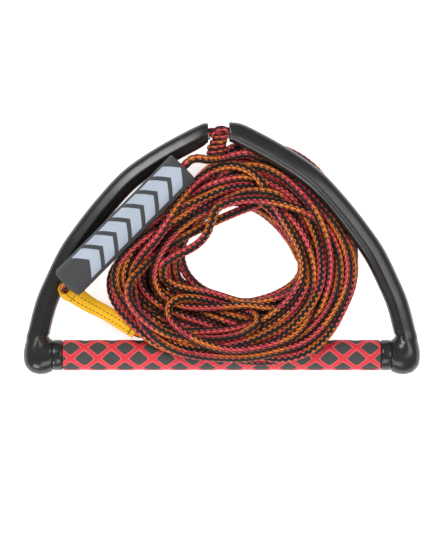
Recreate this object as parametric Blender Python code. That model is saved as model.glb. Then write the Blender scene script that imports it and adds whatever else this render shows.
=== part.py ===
"""Tow rope handle: a foam-gripped bar between two moulded arms, its bridle, and the coiled tow rope with its float.

The handle lies on its back with the bar along X and the apex of the bridle towards +Y. All lengths are in metres.
Inside the functions, places are counted from the foot of the bar: X = 0 at the bar's middle, Y = 0 below the
bar's axis, Z = 0 on the surface that the handle lies on. One empty carries everything to the part's own origin.
"""

import math

import bmesh
import bpy
from mathutils import Matrix, Vector

# Frame: the origin is under the middle of the handle's own box.
FOOT_OF_BAR = Vector((0.0, -0.1019, 0.0))
BAR_AXIS_Z = 0.0148
PLANE_RISE = math.tan(math.radians(6.6))
GAP = 0.0003
FLOOR_DEPTH = 0.02

# Bar and grip
GRIP_HALF_LENGTH = 0.1524
GRIP_RADIUS = 0.0146
BAR_HALF_LENGTH = 0.168
BAR_RADIUS = 0.0105
BAR_WALL = 0.0015
PLUG_LENGTH = 0.018
PLUG_INSET = 0.012
CUFF_LENGTH = 0.0104
CUFF_RADIUS = 0.0147
SLEEVE_BORE_RADIUS = BAR_RADIUS + GAP
ROUND_SIDES = 32

# Arms
ARM_RADIUS = 0.0104
ARM_WALL = 0.0019
ARM_SIDES = 16
# Each arm's open end is cut square to the bar, a little further along on the left
MOUTHS = {1: (0.0070, 0.2132), -1: (0.0130, 0.2122)}
MOUTH_TAPER = 0.88
ARM_ROUTE = (
    (0.0200, 0.2093),
    (0.0560, 0.1900),
    (0.0867, 0.1692),
    (0.1109, 0.1440),
    (0.1310, 0.1190),
    (0.1467, 0.0964),
    (0.1608, 0.0680),
    (0.1689, 0.0489),
    (0.1760, 0.0230),
    (0.1785, 0.0080),
    (0.1780, -0.0020),
)
ELBOW_CENTRE_Y = -0.0020
ELBOW_HALF_WIDTH_Y = 0.0170
ELBOW_HALF_HEIGHT_Z = 0.0156
ELBOW_INNER_X = GRIP_HALF_LENGTH + CUFF_LENGTH + 2 * GAP
ELBOW_TIP_X = 0.1907
ELBOW_PROFILE = ((0.00, 0.86), (0.12, 0.90), (0.35, 1.00), (0.70, 1.00), (0.86, 0.86), (0.96, 0.55), (1.00, 0.25))

# Inside the arms
ROPE_RADIUS = 0.00425
HOSE_RADIUS = 0.0064
HOSE_BORE_RADIUS = 0.0048
FOAM_RADIUS = ARM_RADIUS - ARM_WALL - 2 * GAP
FOAM_BORE_RADIUS = HOSE_RADIUS + 2 * GAP
ROPE_CHANNEL_RADIUS = 0.0050
HOSE_STATIONS = (0, 12)
FOAM_STATIONS = (1, 11)
CHAMBER_STATIONS = 13
ARM_STEP = 0.0180
INNER_SIDES = 12
ROPE_SIDES_RESOLUTION = 2

# Rope route inside the elbow, from the arm to the bar's axis
ELBOW_BEND_RADIUS = 0.0200
ELBOW_BEND_CENTRE = (0.1572, 0.0200)
BRIDLE_CREST_Y = 0.2128
BRIDLE_BAR_STATIONS = 5

# Knot where the tow rope meets the bridle
KNOT_ROUTE = (
    (-0.0020, 0.2058, 0.0392),
    (-0.0030, 0.2035, 0.0395),
    (-0.0052, 0.1985, 0.0400),
    (-0.0064, 0.1945, 0.0400),
    (-0.0062, 0.1905, 0.0400),
)
KNOT_RADII = (0.0060, 0.0070, 0.0080, 0.0082, 0.0062)
KNOT_SIDES = 20

# Coil
COIL_CENTRE = (0.0120, 0.0870)
COIL_STATIONS = 48
COIL_OUTLINE = (
    (0.1330, 0.1011),
    (0.1244, 0.1297),
    (0.1110, 0.1565),
    (0.0957, 0.1775),
    (0.0800, 0.1925),
    (0.0508, 0.1947),
    (0.0269, 0.1871),
    (0.0002, 0.1794),
    (-0.0180, 0.1690),
    (-0.0310, 0.1570),
    (-0.0450, 0.1430),
    (-0.0610, 0.1270),
    (-0.0820, 0.1050),
    (-0.1020, 0.0860),
    (-0.1087, 0.0676),
    (-0.0954, 0.0380),
    (-0.0686, 0.0103),
    (-0.0304, -0.0021),
    (0.0126, -0.0059),
    (0.0432, -0.0079),
    (0.0747, -0.0050),
    (0.1034, 0.0160),
    (0.1187, 0.0418),
    (0.1292, 0.0648),
)
COIL_HOLE = (
    (0.0728, 0.0867),
    (0.0652, 0.1020),
    (0.0575, 0.1154),
    (0.0432, 0.1307),
    (0.0288, 0.1393),
    (0.0107, 0.1441),
    (-0.0046, 0.1393),
    (-0.0200, 0.1260),
    (-0.0371, 0.1011),
    (-0.0275, 0.0762),
    (-0.0208, 0.0667),
    (-0.0046, 0.0628),
    (0.0202, 0.0542),
    (0.0394, 0.0552),
    (0.0556, 0.0590),
    (0.0699, 0.0686),
)
# Across the bundle from the hole (0) to the outside (1), and up from the floor (0) to its top (1)
COIL_SECTION = (
    (0.00, 0.30),
    (0.06, 0.08),
    (0.20, 0.00),
    (0.80, 0.00),
    (0.94, 0.06),
    (1.00, 0.24),
    (1.00, 0.66),
    (0.90, 0.90),
    (0.62, 1.00),
    (0.28, 0.95),
    (0.05, 0.70),
)
COIL_TOP_MEAN = 0.0580
COIL_TOP_SWING = 0.0040
COIL_TOP_BEARING = math.radians(200)
# Room under the coil for the hidden end of the boat loop
LOOP_POCKET_LOW = Vector((-0.115, -0.030, -0.010))
LOOP_POCKET_HIGH = Vector((-0.048, 0.0400, 0.0355))

# Rope stretches outside the coil
LEAD_ROUTE = ((0.0005, 0.1850, 0.0400), (0.0080, 0.1877, 0.0395), (0.0160, 0.1905, 0.0385), (0.0235, 0.1917, 0.0370))
TAIL_START = ((-0.0090, 0.1812, 0.0530), (-0.0150, 0.1840, 0.0560), (-0.0220, 0.1860, 0.0590))
STRAY_ROUTE = (
    (-0.0112, 0.1338, 0.0403),
    (-0.0085, 0.1295, 0.0420),
    (-0.0083, 0.1240, 0.0420),
    (-0.0110, 0.1165, 0.0400),
    (-0.0165, 0.1090, 0.0370),
    (-0.0240, 0.1040, 0.0340),
    (-0.0302, 0.1014, 0.0322),
)
LEAD_STEP = 0.0040
STRAY_STEP = 0.0060

# Float on the rope
FLOAT_LOW = Vector((-0.1464, 0.0686, 0.0490))
FLOAT_HIGH = Vector((-0.0360, 0.1786, 0.0600))
FLOAT_RADIUS = 0.0162
FLOAT_EDGE = 0.0030
FLOAT_BORE_RADIUS = 0.0050
# The rope stays straight this far above the float, and is steered by one point inside it
TAIL_STRAIGHT = 0.0090
TAIL_INSIDE = 0.0900
TAIL_STEP = 0.0085
FLOAT_SPLICE_BORE_RADIUS = 0.0066
SPLICE_RADIUS = 0.0060
SPLICE_START = 0.0033
SPLICE_LENGTH = 0.0320

# Boat loop and its cover
LOOP_DROP_ROUTE = (
    (-0.1484, 0.0664, 0.0478),
    (-0.1496, 0.0645, 0.0430),
    (-0.1482, 0.0625, 0.0370),
)
LOOP_UPPER_ROUTE = (
    (-0.1440, 0.0596, 0.0315),
    (-0.1400, 0.0565, 0.0295),
    (-0.1347, 0.0523, 0.0285),
    (-0.1260, 0.0475, 0.0280),
    (-0.1166, 0.0418, 0.0280),
    (-0.1070, 0.0360, 0.0280),
    (-0.0974, 0.0303, 0.0280),
    (-0.0900, 0.0250, 0.0282),
    (-0.0840, 0.0210, 0.0284),
)
LOOP_FAR_ROUTE = (
    (-0.0760, 0.0205, 0.0270),
    (-0.0680, 0.0220, 0.0230),
    (-0.0640, 0.0245, 0.0160),
    (-0.0680, 0.0265, 0.0085),
)
LOOP_LOWER_ROUTE = (
    (-0.0770, 0.0270, 0.0050),
    (-0.0900, 0.0290, 0.0048),
    (-0.1060, 0.0375, 0.0048),
    (-0.1220, 0.0465, 0.0055),
    (-0.1340, 0.0525, 0.0100),
    (-0.1420, 0.0570, 0.0180),
)
LOOP_STEP = 0.0055
COVER_STEP = 0.0060
# The cover's half width at its flared throat, just past it and along the rest
COVER_WIDTHS = (0.0090, 0.0084, 0.0074, 0.0068)
COVER_HALF_HEIGHT = 0.0060
COVER_BORE_RADIUS = 0.0052
COVER_SIDES = 14

BLACK_MOULDING = ((0.018, 0.018, 0.018), 0.32, 0.0)
GLOSS_CUFF = ((0.012, 0.012, 0.012), 0.18, 0.0)
GRIP_FOAM = ((0.060, 0.063, 0.060), 0.85, 0.0)
FLOAT_FOAM = ((0.050, 0.052, 0.056), 0.80, 0.0)
ARM_FOAM = ((0.70, 0.70, 0.66), 0.90, 0.0)
CLEAR_HOSE = ((0.52, 0.54, 0.52), 0.35, 0.0)
BARE_ALLOY = ((0.72, 0.73, 0.74), 0.30, 1.0)
RED_BRAID = ((0.62, 0.10, 0.07), 0.75, 0.0)
YELLOW_WEBBING = ((0.95, 0.50, 0.02), 0.70, 0.0)


def clear_scene():
    """Removes whatever the startup file left."""
    for obj in list(bpy.data.objects):
        bpy.data.objects.remove(obj, do_unlink=True)


def make_material(name, look):
    """A Principled material from a (colour, roughness, metallic) look."""
    colour, roughness, metallic = look
    material = bpy.data.materials.new(name)
    material.use_nodes = True
    shader = material.node_tree.nodes["Principled BSDF"]
    shader.inputs["Base Color"].default_value = (*colour, 1.0)
    shader.inputs["Roughness"].default_value = roughness
    shader.inputs["Metallic"].default_value = metallic
    return material


def add_object(name, data, look, frame):
    """Links a mesh or curve to the scene with its own material, under the frame empty."""
    obj = bpy.data.objects.new(name, data)
    bpy.context.scene.collection.objects.link(obj)
    obj.parent = frame
    if look is not None:
        data.materials.append(make_material(name + "_finish", look))
    return obj


def mesh_from(bm, name, smooth=True):
    """Closes a bmesh into a mesh with its faces out."""
    bmesh.ops.recalc_face_normals(bm, faces=bm.faces)
    mesh = bpy.data.meshes.new(name)
    bm.to_mesh(mesh)
    bm.free()
    if smooth:
        mesh.shade_smooth()
        mesh.set_sharp_from_angle(angle=math.radians(38))
    return mesh


def curve_point(a, b, c, d, t):
    """A point between b and c on the smooth curve through a, b, c and d."""
    return 0.5 * (2 * b + (c - a) * t + (2 * a - 5 * b + 4 * c - d) * t**2 + (3 * b - a - 3 * c + d) * t**3)


def smooth_route(points, spacing, closed=False):
    """Evenly spaced points on the smooth curve through the given ones."""
    points = [Vector(p) for p in points]
    count = len(points)
    fine = []
    spans = count if closed else count - 1
    for i in range(spans):
        if closed:
            a, b, c, d = (points[(i + k) % count] for k in (-1, 0, 1, 2))
        else:
            b, c = points[i], points[i + 1]
            a = points[i - 1] if i > 0 else 2 * b - c
            d = points[i + 2] if i + 2 < count else 2 * c - b
        fine += [curve_point(a, b, c, d, step / 12) for step in range(12)]
    fine.append(points[0] if closed else points[-1])
    return respaced(fine, spacing, closed)


def respaced(line, spacing, closed=False):
    """The same line with its points a near-constant distance apart."""
    lengths = [0.0]
    for p, q in zip(line, line[1:]):
        lengths.append(lengths[-1] + (q - p).length)
    pieces = max(2, round(lengths[-1] / spacing))
    found = []
    span = 0
    for k in range(pieces + (0 if closed else 1)):
        wanted = lengths[-1] * k / pieces
        while span < len(line) - 2 and lengths[span + 1] < wanted:
            span += 1
        step = lengths[span + 1] - lengths[span]
        share = (wanted - lengths[span]) / step if step > 0 else 0.0
        found.append(line[span].lerp(line[span + 1], min(1.0, share)))
    return found


def tangents_of(line, closed=False):
    """The direction of travel at each point."""
    count = len(line)
    found = []
    for i in range(count):
        before = line[(i - 1) % count] if closed or i > 0 else line[i]
        after = line[(i + 1) % count] if closed or i + 1 < count else line[i]
        found.append((after - before).normalized())
    return found


def ring_points(centre, side, up, half_width, half_height, sides):
    """Points round an ellipse."""
    turns = [2 * math.pi * k / sides for k in range(sides)]
    return [centre + side * (half_width * math.cos(a)) + up * (half_height * math.sin(a)) for a in turns]


def sweep_rings(bm, line, sizes, sides, up=Vector((0, 0, 1))):
    """One ring of vertices at each point of a line. sizes gives each ring's half width and half height."""
    rings = []
    for centre, tangent, (half_width, half_height) in zip(line, tangents_of(line), sizes):
        side = tangent.cross(up).normalized()
        true_up = side.cross(tangent)
        places = ring_points(centre, side, true_up, half_width, half_height, sides)
        rings.append([bm.verts.new(p) for p in places])
    return rings


def bridge(bm, first, second):
    """Quads between two rings of the same count."""
    count = len(first)
    for k in range(count):
        bm.faces.new((first[k], first[(k + 1) % count], second[(k + 1) % count], second[k]))


def swept_solid(name, line, sizes, sides, first_x=None):
    """A solid rod along a line, flat at both ends. With first_x, its first end is cut at that X."""
    bm = bmesh.new()
    rings = sweep_rings(bm, line, sizes, sides)
    if first_x is not None:
        heading = line[1] - line[0]
        for vert in rings[0]:
            vert.co += heading * ((first_x - vert.co.x) / heading.x)
    for first, second in zip(rings, rings[1:]):
        bridge(bm, first, second)
    bm.faces.new(rings[0])
    bm.faces.new(rings[-1])
    return mesh_from(bm, name)


def swept_tube(name, line, outer, inner, sides):
    """A hose along a line, open at both ends. outer and inner give each station's half width and half height."""
    bm = bmesh.new()
    outside = sweep_rings(bm, line, outer, sides)
    inside = sweep_rings(bm, line, inner, sides)
    for rings in (outside, inside):
        for first, second in zip(rings, rings[1:]):
            bridge(bm, first, second)
    bridge(bm, outside[0], inside[0])
    bridge(bm, outside[-1], inside[-1])
    return mesh_from(bm, name)


def turned_solid(name, profile, start, end, sides=ROUND_SIDES, closed=True):
    """A turned piece. profile gives (distance from start, radius) along the axis from start to end.

    A closed profile goes round a hollow wall and back, and an open one ends on the axis at both ends."""
    axis = (end - start).normalized()
    side = axis.orthogonal().normalized()
    up = axis.cross(side)
    bm = bmesh.new()
    rings = []
    for along, radius in profile:
        centre = start + axis * along
        if radius > 0:
            rings.append([bm.verts.new(p) for p in ring_points(centre, side, up, radius, radius, sides)])
        else:
            rings.append([bm.verts.new(centre)])
    pairs = list(zip(rings, rings[1:]))
    if closed:
        pairs.append((rings[-1], rings[0]))
    for first, second in pairs:
        if len(first) == len(second):
            bridge(bm, first, second)
            continue
        tip, ring = (first[0], second) if len(first) == 1 else (second[0], first)
        for k in range(sides):
            bm.faces.new((tip, ring[k], ring[(k + 1) % sides]))
    return mesh_from(bm, name)


def wall_profile(length, outer, inner):
    """The closed profile of a plain sleeve."""
    return ((0, outer), (length, outer), (length, inner), (0, inner))


def box_mesh(name, low, high):
    """A plain block between two corners."""
    bm = bmesh.new()
    bmesh.ops.create_cube(bm, size=1.0)
    size = high - low
    bmesh.ops.scale(bm, vec=size, verts=bm.verts)
    bmesh.ops.translate(bm, vec=(low + high) / 2, verts=bm.verts)
    return mesh_from(bm, name, smooth=False)


def add_cutter(name, mesh, frame):
    """A helper that shapes another piece and is no piece itself."""
    cutter = add_object(name, mesh, None, frame)
    cutter.hide_render = True
    cutter.display_type = "WIRE"
    return cutter


def combine(obj, other, operation):
    """Adds a Boolean of the other object."""
    modifier = obj.modifiers.new(other.name, "BOOLEAN")
    modifier.operation = operation
    modifier.object = other
    modifier.solver = "EXACT"


def rope_tube(name, line, frame, closed=False):
    """A stretch of rope as a round bevelled curve."""
    curve = bpy.data.curves.new(name, "CURVE")
    curve.dimensions = "3D"
    curve.bevel_depth = ROPE_RADIUS
    curve.bevel_resolution = ROPE_SIDES_RESOLUTION
    curve.use_fill_caps = not closed
    spline = curve.splines.new("POLY")
    spline.points.add(len(line) - 1)
    for point, place in zip(spline.points, line):
        point.co = (*place, 1.0)
    spline.use_cyclic_u = closed
    spline.use_smooth = True
    return add_object(name, curve, RED_BRAID, frame)


def lifted(side, x, y):
    """A place in the handle's sloping plane. side is 1 on the right and -1 on the left."""
    return Vector((side * x, y, BAR_AXIS_Z + y * PLANE_RISE))


def arm_line(side):
    """The middle of an arm from its open end to the elbow."""
    return smooth_route([lifted(side, x, y) for x, y in (MOUTHS[side], *ARM_ROUTE)], ARM_STEP)


def elbow_bend(side):
    """The rope's way from the arm round the elbow into the bar."""
    centre_x, centre_y = ELBOW_BEND_CENTRE
    angles = [math.radians(a) for a in range(0, 91, 15)]
    return [
        lifted(side, centre_x + ELBOW_BEND_RADIUS * math.cos(a), centre_y - ELBOW_BEND_RADIUS * math.sin(a))
        for a in angles
    ]


def rope_in_arm(side):
    """The bridle's way from an arm's open end to the bar's axis."""
    highest_y = ELBOW_BEND_CENTRE[1] + 0.008
    return [place for place in arm_line(side) if place.y > highest_y] + elbow_bend(side)


def add_bar(frame):
    """The alloy tube that carries the load between the elbows."""
    ends = [Vector((x, 0, BAR_AXIS_Z)) for x in (-BAR_HALF_LENGTH, BAR_HALF_LENGTH)]
    profile = wall_profile(2 * BAR_HALF_LENGTH, BAR_RADIUS, BAR_RADIUS - BAR_WALL)
    add_object("bar_tube", turned_solid("bar_tube", profile, *ends), BARE_ALLOY, frame)


def add_grip(frame):
    """The foam sleeve that the hands hold."""
    half = GRIP_HALF_LENGTH
    ends = [Vector((x, 0, BAR_AXIS_Z)) for x in (-half, half)]
    edge = 0.0008
    profile = (
        (0, GRIP_RADIUS - edge),
        (edge, GRIP_RADIUS),
        (2 * half - edge, GRIP_RADIUS),
        (2 * half, GRIP_RADIUS - edge),
        (2 * half, SLEEVE_BORE_RADIUS),
        (0, SLEEVE_BORE_RADIUS),
    )
    add_object("grip_sleeve", turned_solid("grip_sleeve", profile, *ends), GRIP_FOAM, frame)


def add_bar_plug(side, label, frame):
    """A foam ring that centres the rope in the bar's end and keeps water out."""
    start = Vector((side * (BAR_HALF_LENGTH - PLUG_INSET), 0, BAR_AXIS_Z))
    end = start - Vector((side * PLUG_LENGTH, 0, 0))
    profile = wall_profile(PLUG_LENGTH, BAR_RADIUS - BAR_WALL - GAP, ROPE_CHANNEL_RADIUS)
    name = "bar_plug_" + label
    add_object(name, turned_solid(name, profile, start, end, INNER_SIDES * 2), ARM_FOAM, frame)


def add_cuff(side, label, frame):
    """The glossy ring between the grip and the elbow."""
    start = Vector((side * (GRIP_HALF_LENGTH + GAP), 0, BAR_AXIS_Z))
    end = start + Vector((side * CUFF_LENGTH, 0, 0))
    edge = 0.0010
    profile = (
        (0, CUFF_RADIUS - edge),
        (edge, CUFF_RADIUS),
        (CUFF_LENGTH - edge, CUFF_RADIUS),
        (CUFF_LENGTH, CUFF_RADIUS - edge),
        (CUFF_LENGTH, SLEEVE_BORE_RADIUS),
        (0, SLEEVE_BORE_RADIUS),
    )
    name = "cuff_" + label
    add_object(name, turned_solid(name, profile, start, end), GLOSS_CUFF, frame)


def elbow_boss(side, name):
    """The moulded knuckle round the bar's end, wider across the handle than it is tall."""
    length = ELBOW_TIP_X - ELBOW_INNER_X
    line = [Vector((side * (ELBOW_INNER_X + share * length), ELBOW_CENTRE_Y, BAR_AXIS_Z)) for share, _ in ELBOW_PROFILE]
    sizes = [(ELBOW_HALF_WIDTH_Y * scale, ELBOW_HALF_HEIGHT_Z * scale) for _, scale in ELBOW_PROFILE]
    return swept_solid(name, line, sizes, ROUND_SIDES)


def add_arm_skin(side, label, frame):
    """The moulded skin of an arm with its elbow, hollow for the hose, the foam and the rope, flat underneath."""
    name = "arm_skin_" + label
    line = arm_line(side)
    sizes = [(ARM_RADIUS * MOUTH_TAPER, ARM_RADIUS * MOUTH_TAPER)] + [(ARM_RADIUS, ARM_RADIUS)] * (len(line) - 1)
    rod = swept_solid(name, line, sizes, ARM_SIDES, first_x=side * MOUTHS[side][0])
    skin = add_object(name, rod, BLACK_MOULDING, frame)
    combine(skin, add_cutter(name + "_boss", elbow_boss(side, name + "_boss"), frame), "UNION")

    mouth = line[0] + (line[0] - line[1]).normalized() * ARM_RADIUS
    chamber = [mouth] + line[:CHAMBER_STATIONS]
    chamber_radius = ARM_RADIUS - ARM_WALL
    chamber_mesh = swept_solid(name + "_chamber", chamber, [(chamber_radius, chamber_radius)] * len(chamber),
                               ARM_SIDES)
    combine(skin, add_cutter(name + "_chamber", chamber_mesh, frame), "DIFFERENCE")

    into_bar = Vector((side * 0.150, 0, BAR_AXIS_Z))
    channel = rope_in_arm(side)[CHAMBER_STATIONS - 3 :] + [into_bar]
    channel_sizes = [(ROPE_CHANNEL_RADIUS, ROPE_CHANNEL_RADIUS)] * len(channel)
    channel_mesh = swept_solid(name + "_channel", channel, channel_sizes, INNER_SIDES)
    combine(skin, add_cutter(name + "_channel", channel_mesh, frame), "DIFFERENCE")

    socket_end = Vector((side * (BAR_HALF_LENGTH + GAP), 0, BAR_AXIS_Z))
    socket_profile = ((0, 0), (0, SLEEVE_BORE_RADIUS), (0.020, SLEEVE_BORE_RADIUS), (0.020, 0))
    socket = turned_solid(name + "_socket", socket_profile, socket_end, into_bar, closed=False)
    combine(skin, add_cutter(name + "_socket", socket, frame), "DIFFERENCE")

    low = Vector((min(side * 0.15, side * 0.20), -0.04, -FLOOR_DEPTH))
    high = Vector((max(side * 0.15, side * 0.20), 0.04, 0.0))
    combine(skin, add_cutter(name + "_floor", box_mesh(name + "_floor", low, high), frame), "DIFFERENCE")


def add_lining_piece(name, line, radius, bore_radius, look, frame):
    """A sleeve inside an arm."""
    outer = [(radius, radius)] * len(line)
    inner = [(bore_radius, bore_radius)] * len(line)
    add_object(name, swept_tube(name, line, outer, inner, INNER_SIDES), look, frame)


def add_arm_lining(side, label, frame):
    """The foam and the hose inside an arm."""
    line = arm_line(side)
    foam_line = line[slice(*FOAM_STATIONS)]
    hose_line = line[slice(*HOSE_STATIONS)]
    add_lining_piece("arm_foam_" + label, foam_line, FOAM_RADIUS, FOAM_BORE_RADIUS, ARM_FOAM, frame)
    add_lining_piece("arm_hose_" + label, hose_line, HOSE_RADIUS, HOSE_BORE_RADIUS, CLEAR_HOSE, frame)


def add_bridle(frame):
    """The endless rope that runs through the bar and both arms and bridges the gap at the apex."""
    reach = ELBOW_BEND_CENTRE[0] * 0.8
    steps = [1 - 2 * k / (BRIDLE_BAR_STATIONS - 1) for k in range(BRIDLE_BAR_STATIONS)]
    along_bar = [Vector((reach * step, 0, BAR_AXIS_Z)) for step in steps]
    crest = lifted(1, -0.003, BRIDLE_CREST_Y)
    line = [crest] + rope_in_arm(1) + along_bar + rope_in_arm(-1)[::-1]
    rope_tube("bridle_rope", line, frame, closed=True)


def add_knot(frame):
    """The barrel of wraps that ties the tow rope to the bridle."""
    line = [Vector(p) for p in KNOT_ROUTE]
    sizes = [(radius, radius) for radius in KNOT_RADII]
    add_object("apex_knot", swept_solid("apex_knot", line, sizes, KNOT_SIDES), RED_BRAID, frame)


def bearing_curve(points, count):
    """Distances from the coil's centre at even bearings, read from the smooth closed curve through the points."""
    flat = [Vector((x, y, 0)) - Vector((*COIL_CENTRE, 0)) for x, y in points]
    line = smooth_route(flat, 0.002, closed=True)
    polar = sorted((math.atan2(p.y, p.x) % (2 * math.pi), p.length) for p in line)
    wrapped = [(polar[-1][0] - 2 * math.pi, polar[-1][1])] + polar + [(polar[0][0] + 2 * math.pi, polar[0][1])]
    found = []
    for k in range(count):
        bearing = 2 * math.pi * k / count
        (a, near), (b, far) = next(pair for pair in zip(wrapped, wrapped[1:]) if pair[0][0] <= bearing <= pair[1][0])
        share = (bearing - a) / (b - a) if b > a else 0.0
        found.append(near + (far - near) * share)
    return found


def coil_mesh():
    """The outer shape of the coiled rope as one closed ring."""
    outer = bearing_curve(COIL_OUTLINE, COIL_STATIONS)
    inner = bearing_curve(COIL_HOLE, COIL_STATIONS)
    bm = bmesh.new()
    sections = []
    for k in range(COIL_STATIONS):
        bearing = 2 * math.pi * k / COIL_STATIONS
        top = COIL_TOP_MEAN + COIL_TOP_SWING * math.cos(bearing - COIL_TOP_BEARING)
        section = []
        for across, up in COIL_SECTION:
            radius = inner[k] + (outer[k] - inner[k]) * across
            x = COIL_CENTRE[0] + radius * math.cos(bearing)
            y = COIL_CENTRE[1] + radius * math.sin(bearing)
            section.append(bm.verts.new((x, y, up * top)))
        sections.append(section)
    for k in range(COIL_STATIONS):
        bridge(bm, sections[k], sections[(k + 1) % COIL_STATIONS])
    return mesh_from(bm, "rope_coil")


def arm_keep_out(side, clearance):
    """The room that the coil leaves for an arm: the arm itself and everything above and outside it."""
    reach = ARM_RADIUS + clearance
    line = arm_line(side)
    outline = [(-reach * math.cos(a), -reach * math.sin(a)) for a in (math.radians(d) for d in (0, 30, 60, 90))]
    outline += [(0.060, -reach), (0.060, 0.080), (-reach, 0.080)]
    bm = bmesh.new()
    rings = []
    for centre, tangent in zip(line, tangents_of(line)):
        outward = tangent.cross(Vector((0, 0, 1))).normalized() * -side
        rings.append([bm.verts.new(centre + outward * u + Vector((0, 0, v))) for u, v in outline])
    for first, second in zip(rings, rings[1:]):
        bridge(bm, first, second)
    bm.faces.new(rings[0])
    bm.faces.new(rings[-1])
    return mesh_from(bm, "coil_arm_keep_out", smooth=False)


def grip_keep_out():
    """The room that the coil leaves for the grip, down to the floor and out past the coil."""
    reach = GRIP_RADIUS + 2 * GAP
    angles = [math.radians(d) for d in range(0, 181, 20)]
    outline = [(reach * math.cos(a), BAR_AXIS_Z + reach * math.sin(a)) for a in angles]
    outline += [(-0.05, BAR_AXIS_Z + 0.004), (-0.05, -FLOOR_DEPTH), (reach, -FLOOR_DEPTH)]
    bm = bmesh.new()
    rings = [[bm.verts.new((x, y, z)) for y, z in outline] for x in (-0.16, 0.16)]
    bridge(bm, *rings)
    bm.faces.new(rings[0])
    bm.faces.new(rings[1])
    return mesh_from(bm, "coil_grip_keep_out", smooth=False)


def add_coil(frame):
    """The coiled rope, draped over the grip and under the right arm."""
    coil = add_object("rope_coil", coil_mesh(), RED_BRAID, frame)
    combine(coil, add_cutter("coil_grip_keep_out", grip_keep_out(), frame), "DIFFERENCE")
    combine(coil, add_cutter("coil_arm_keep_out", arm_keep_out(1, 3 * GAP), frame), "DIFFERENCE")
    pocket = box_mesh("coil_loop_pocket", LOOP_POCKET_LOW, LOOP_POCKET_HIGH)
    combine(coil, add_cutter("coil_loop_pocket", pocket, frame), "DIFFERENCE")


def float_direction():
    """The way the float points, up its rope towards the apex."""
    return (FLOAT_HIGH - FLOAT_LOW).normalized()


def add_float(frame):
    """The foam float, threaded on the rope, with a wider bore at its lower end for the splice."""
    length = (FLOAT_HIGH - FLOAT_LOW).length
    edge = FLOAT_EDGE
    profile = (
        (0, FLOAT_RADIUS - edge),
        (0.3 * edge, FLOAT_RADIUS - 0.3 * edge),
        (edge, FLOAT_RADIUS),
        (length - edge / 3, FLOAT_RADIUS),
        (length, FLOAT_RADIUS - edge / 3),
        (length, FLOAT_BORE_RADIUS),
        (SPLICE_LENGTH + GAP, FLOAT_BORE_RADIUS),
        (SPLICE_LENGTH + GAP, FLOAT_SPLICE_BORE_RADIUS),
        (0, FLOAT_SPLICE_BORE_RADIUS),
    )
    travel = bpy.data.objects.new("float_travel", None)
    bpy.context.scene.collection.objects.link(travel)
    travel.parent = frame
    travel.location = FLOAT_LOW
    mesh = turned_solid("keeper_float", profile, Vector((0, 0, 0)), FLOAT_HIGH - FLOAT_LOW)
    add_object("keeper_float", mesh, FLOAT_FOAM, travel)


def add_splice(frame):
    """The thick stretch where the rope's end is buried in itself to close the boat loop."""
    start = FLOAT_LOW + float_direction() * SPLICE_START
    end = FLOAT_LOW + float_direction() * SPLICE_LENGTH
    length = SPLICE_LENGTH - SPLICE_START
    profile = ((0, 0), (0, SPLICE_RADIUS), (length * 0.7, SPLICE_RADIUS), (length, ROPE_RADIUS), (length, 0))
    add_object("eye_splice", turned_solid("eye_splice", profile, start, end, 20, closed=False), RED_BRAID, frame)


def add_tail(frame):
    """The rope from the coil up to the float and down its bore."""
    axis = float_direction()
    straight = [FLOAT_HIGH + axis * TAIL_STRAIGHT, FLOAT_HIGH, FLOAT_LOW + axis * TAIL_INSIDE]
    end = FLOAT_LOW + axis * (SPLICE_LENGTH + GAP)
    route = list(TAIL_START) + straight + [end]
    rope_tube("rope_tail", smooth_route(route, TAIL_STEP), frame)


def add_boat_loop(frame):
    """The eye that goes on the boat's hook, and the webbing cover on its upper leg."""
    start = FLOAT_LOW + float_direction() * (SPLICE_START - 3 * GAP)
    upper = list(LOOP_DROP_ROUTE) + list(LOOP_UPPER_ROUTE)
    route = [start, FLOAT_LOW] + upper + list(LOOP_FAR_ROUTE) + list(LOOP_LOWER_ROUTE)
    rope_tube("boat_loop", smooth_route(route, LOOP_STEP), frame)
    line = smooth_route(LOOP_UPPER_ROUTE, COVER_STEP)
    widths = list(COVER_WIDTHS) + [COVER_WIDTHS[-1]] * (len(line) - len(COVER_WIDTHS))
    outer = [(width, COVER_HALF_HEIGHT) for width in widths]
    inner = [(COVER_BORE_RADIUS, COVER_BORE_RADIUS)] * len(line)
    add_object("loop_cover", swept_tube("loop_cover", line, outer, inner, COVER_SIDES), YELLOW_WEBBING, frame)


def add_leads(frame):
    """The short stretches of rope outside the coil: one from the knot, and one that strays across the hole."""
    rope_tube("rope_lead", smooth_route(LEAD_ROUTE, LEAD_STEP), frame)
    rope_tube("rope_stray", smooth_route(STRAY_ROUTE, STRAY_STEP), frame)


def main():
    """Builds the handle, then the rope and what is on it."""
    clear_scene()
    frame = bpy.data.objects.new("handle_frame", None)
    bpy.context.scene.collection.objects.link(frame)
    frame.matrix_world = Matrix.Translation(FOOT_OF_BAR)
    add_bar(frame)
    add_grip(frame)
    for side, label in ((-1, "left"), (1, "right")):
        add_bar_plug(side, label, frame)
        add_cuff(side, label, frame)
        add_arm_skin(side, label, frame)
        add_arm_lining(side, label, frame)
    add_bridle(frame)
    add_knot(frame)
    add_coil(frame)
    add_leads(frame)
    add_tail(frame)
    add_splice(frame)
    add_boat_loop(frame)
    add_float(frame)


main()
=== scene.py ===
"""Looks of the tow rope handle: moulded arms, latticed grip, coiled braid, foam float and webbing cover.

Places are counted in metres from the foot of the bar, as the part's own source counts them. Every mesh is
moved to the part's origin as it is made.
"""

import logging
import math
from collections.abc import Callable, Sequence
from dataclasses import dataclass, field
from enum import Enum

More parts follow.
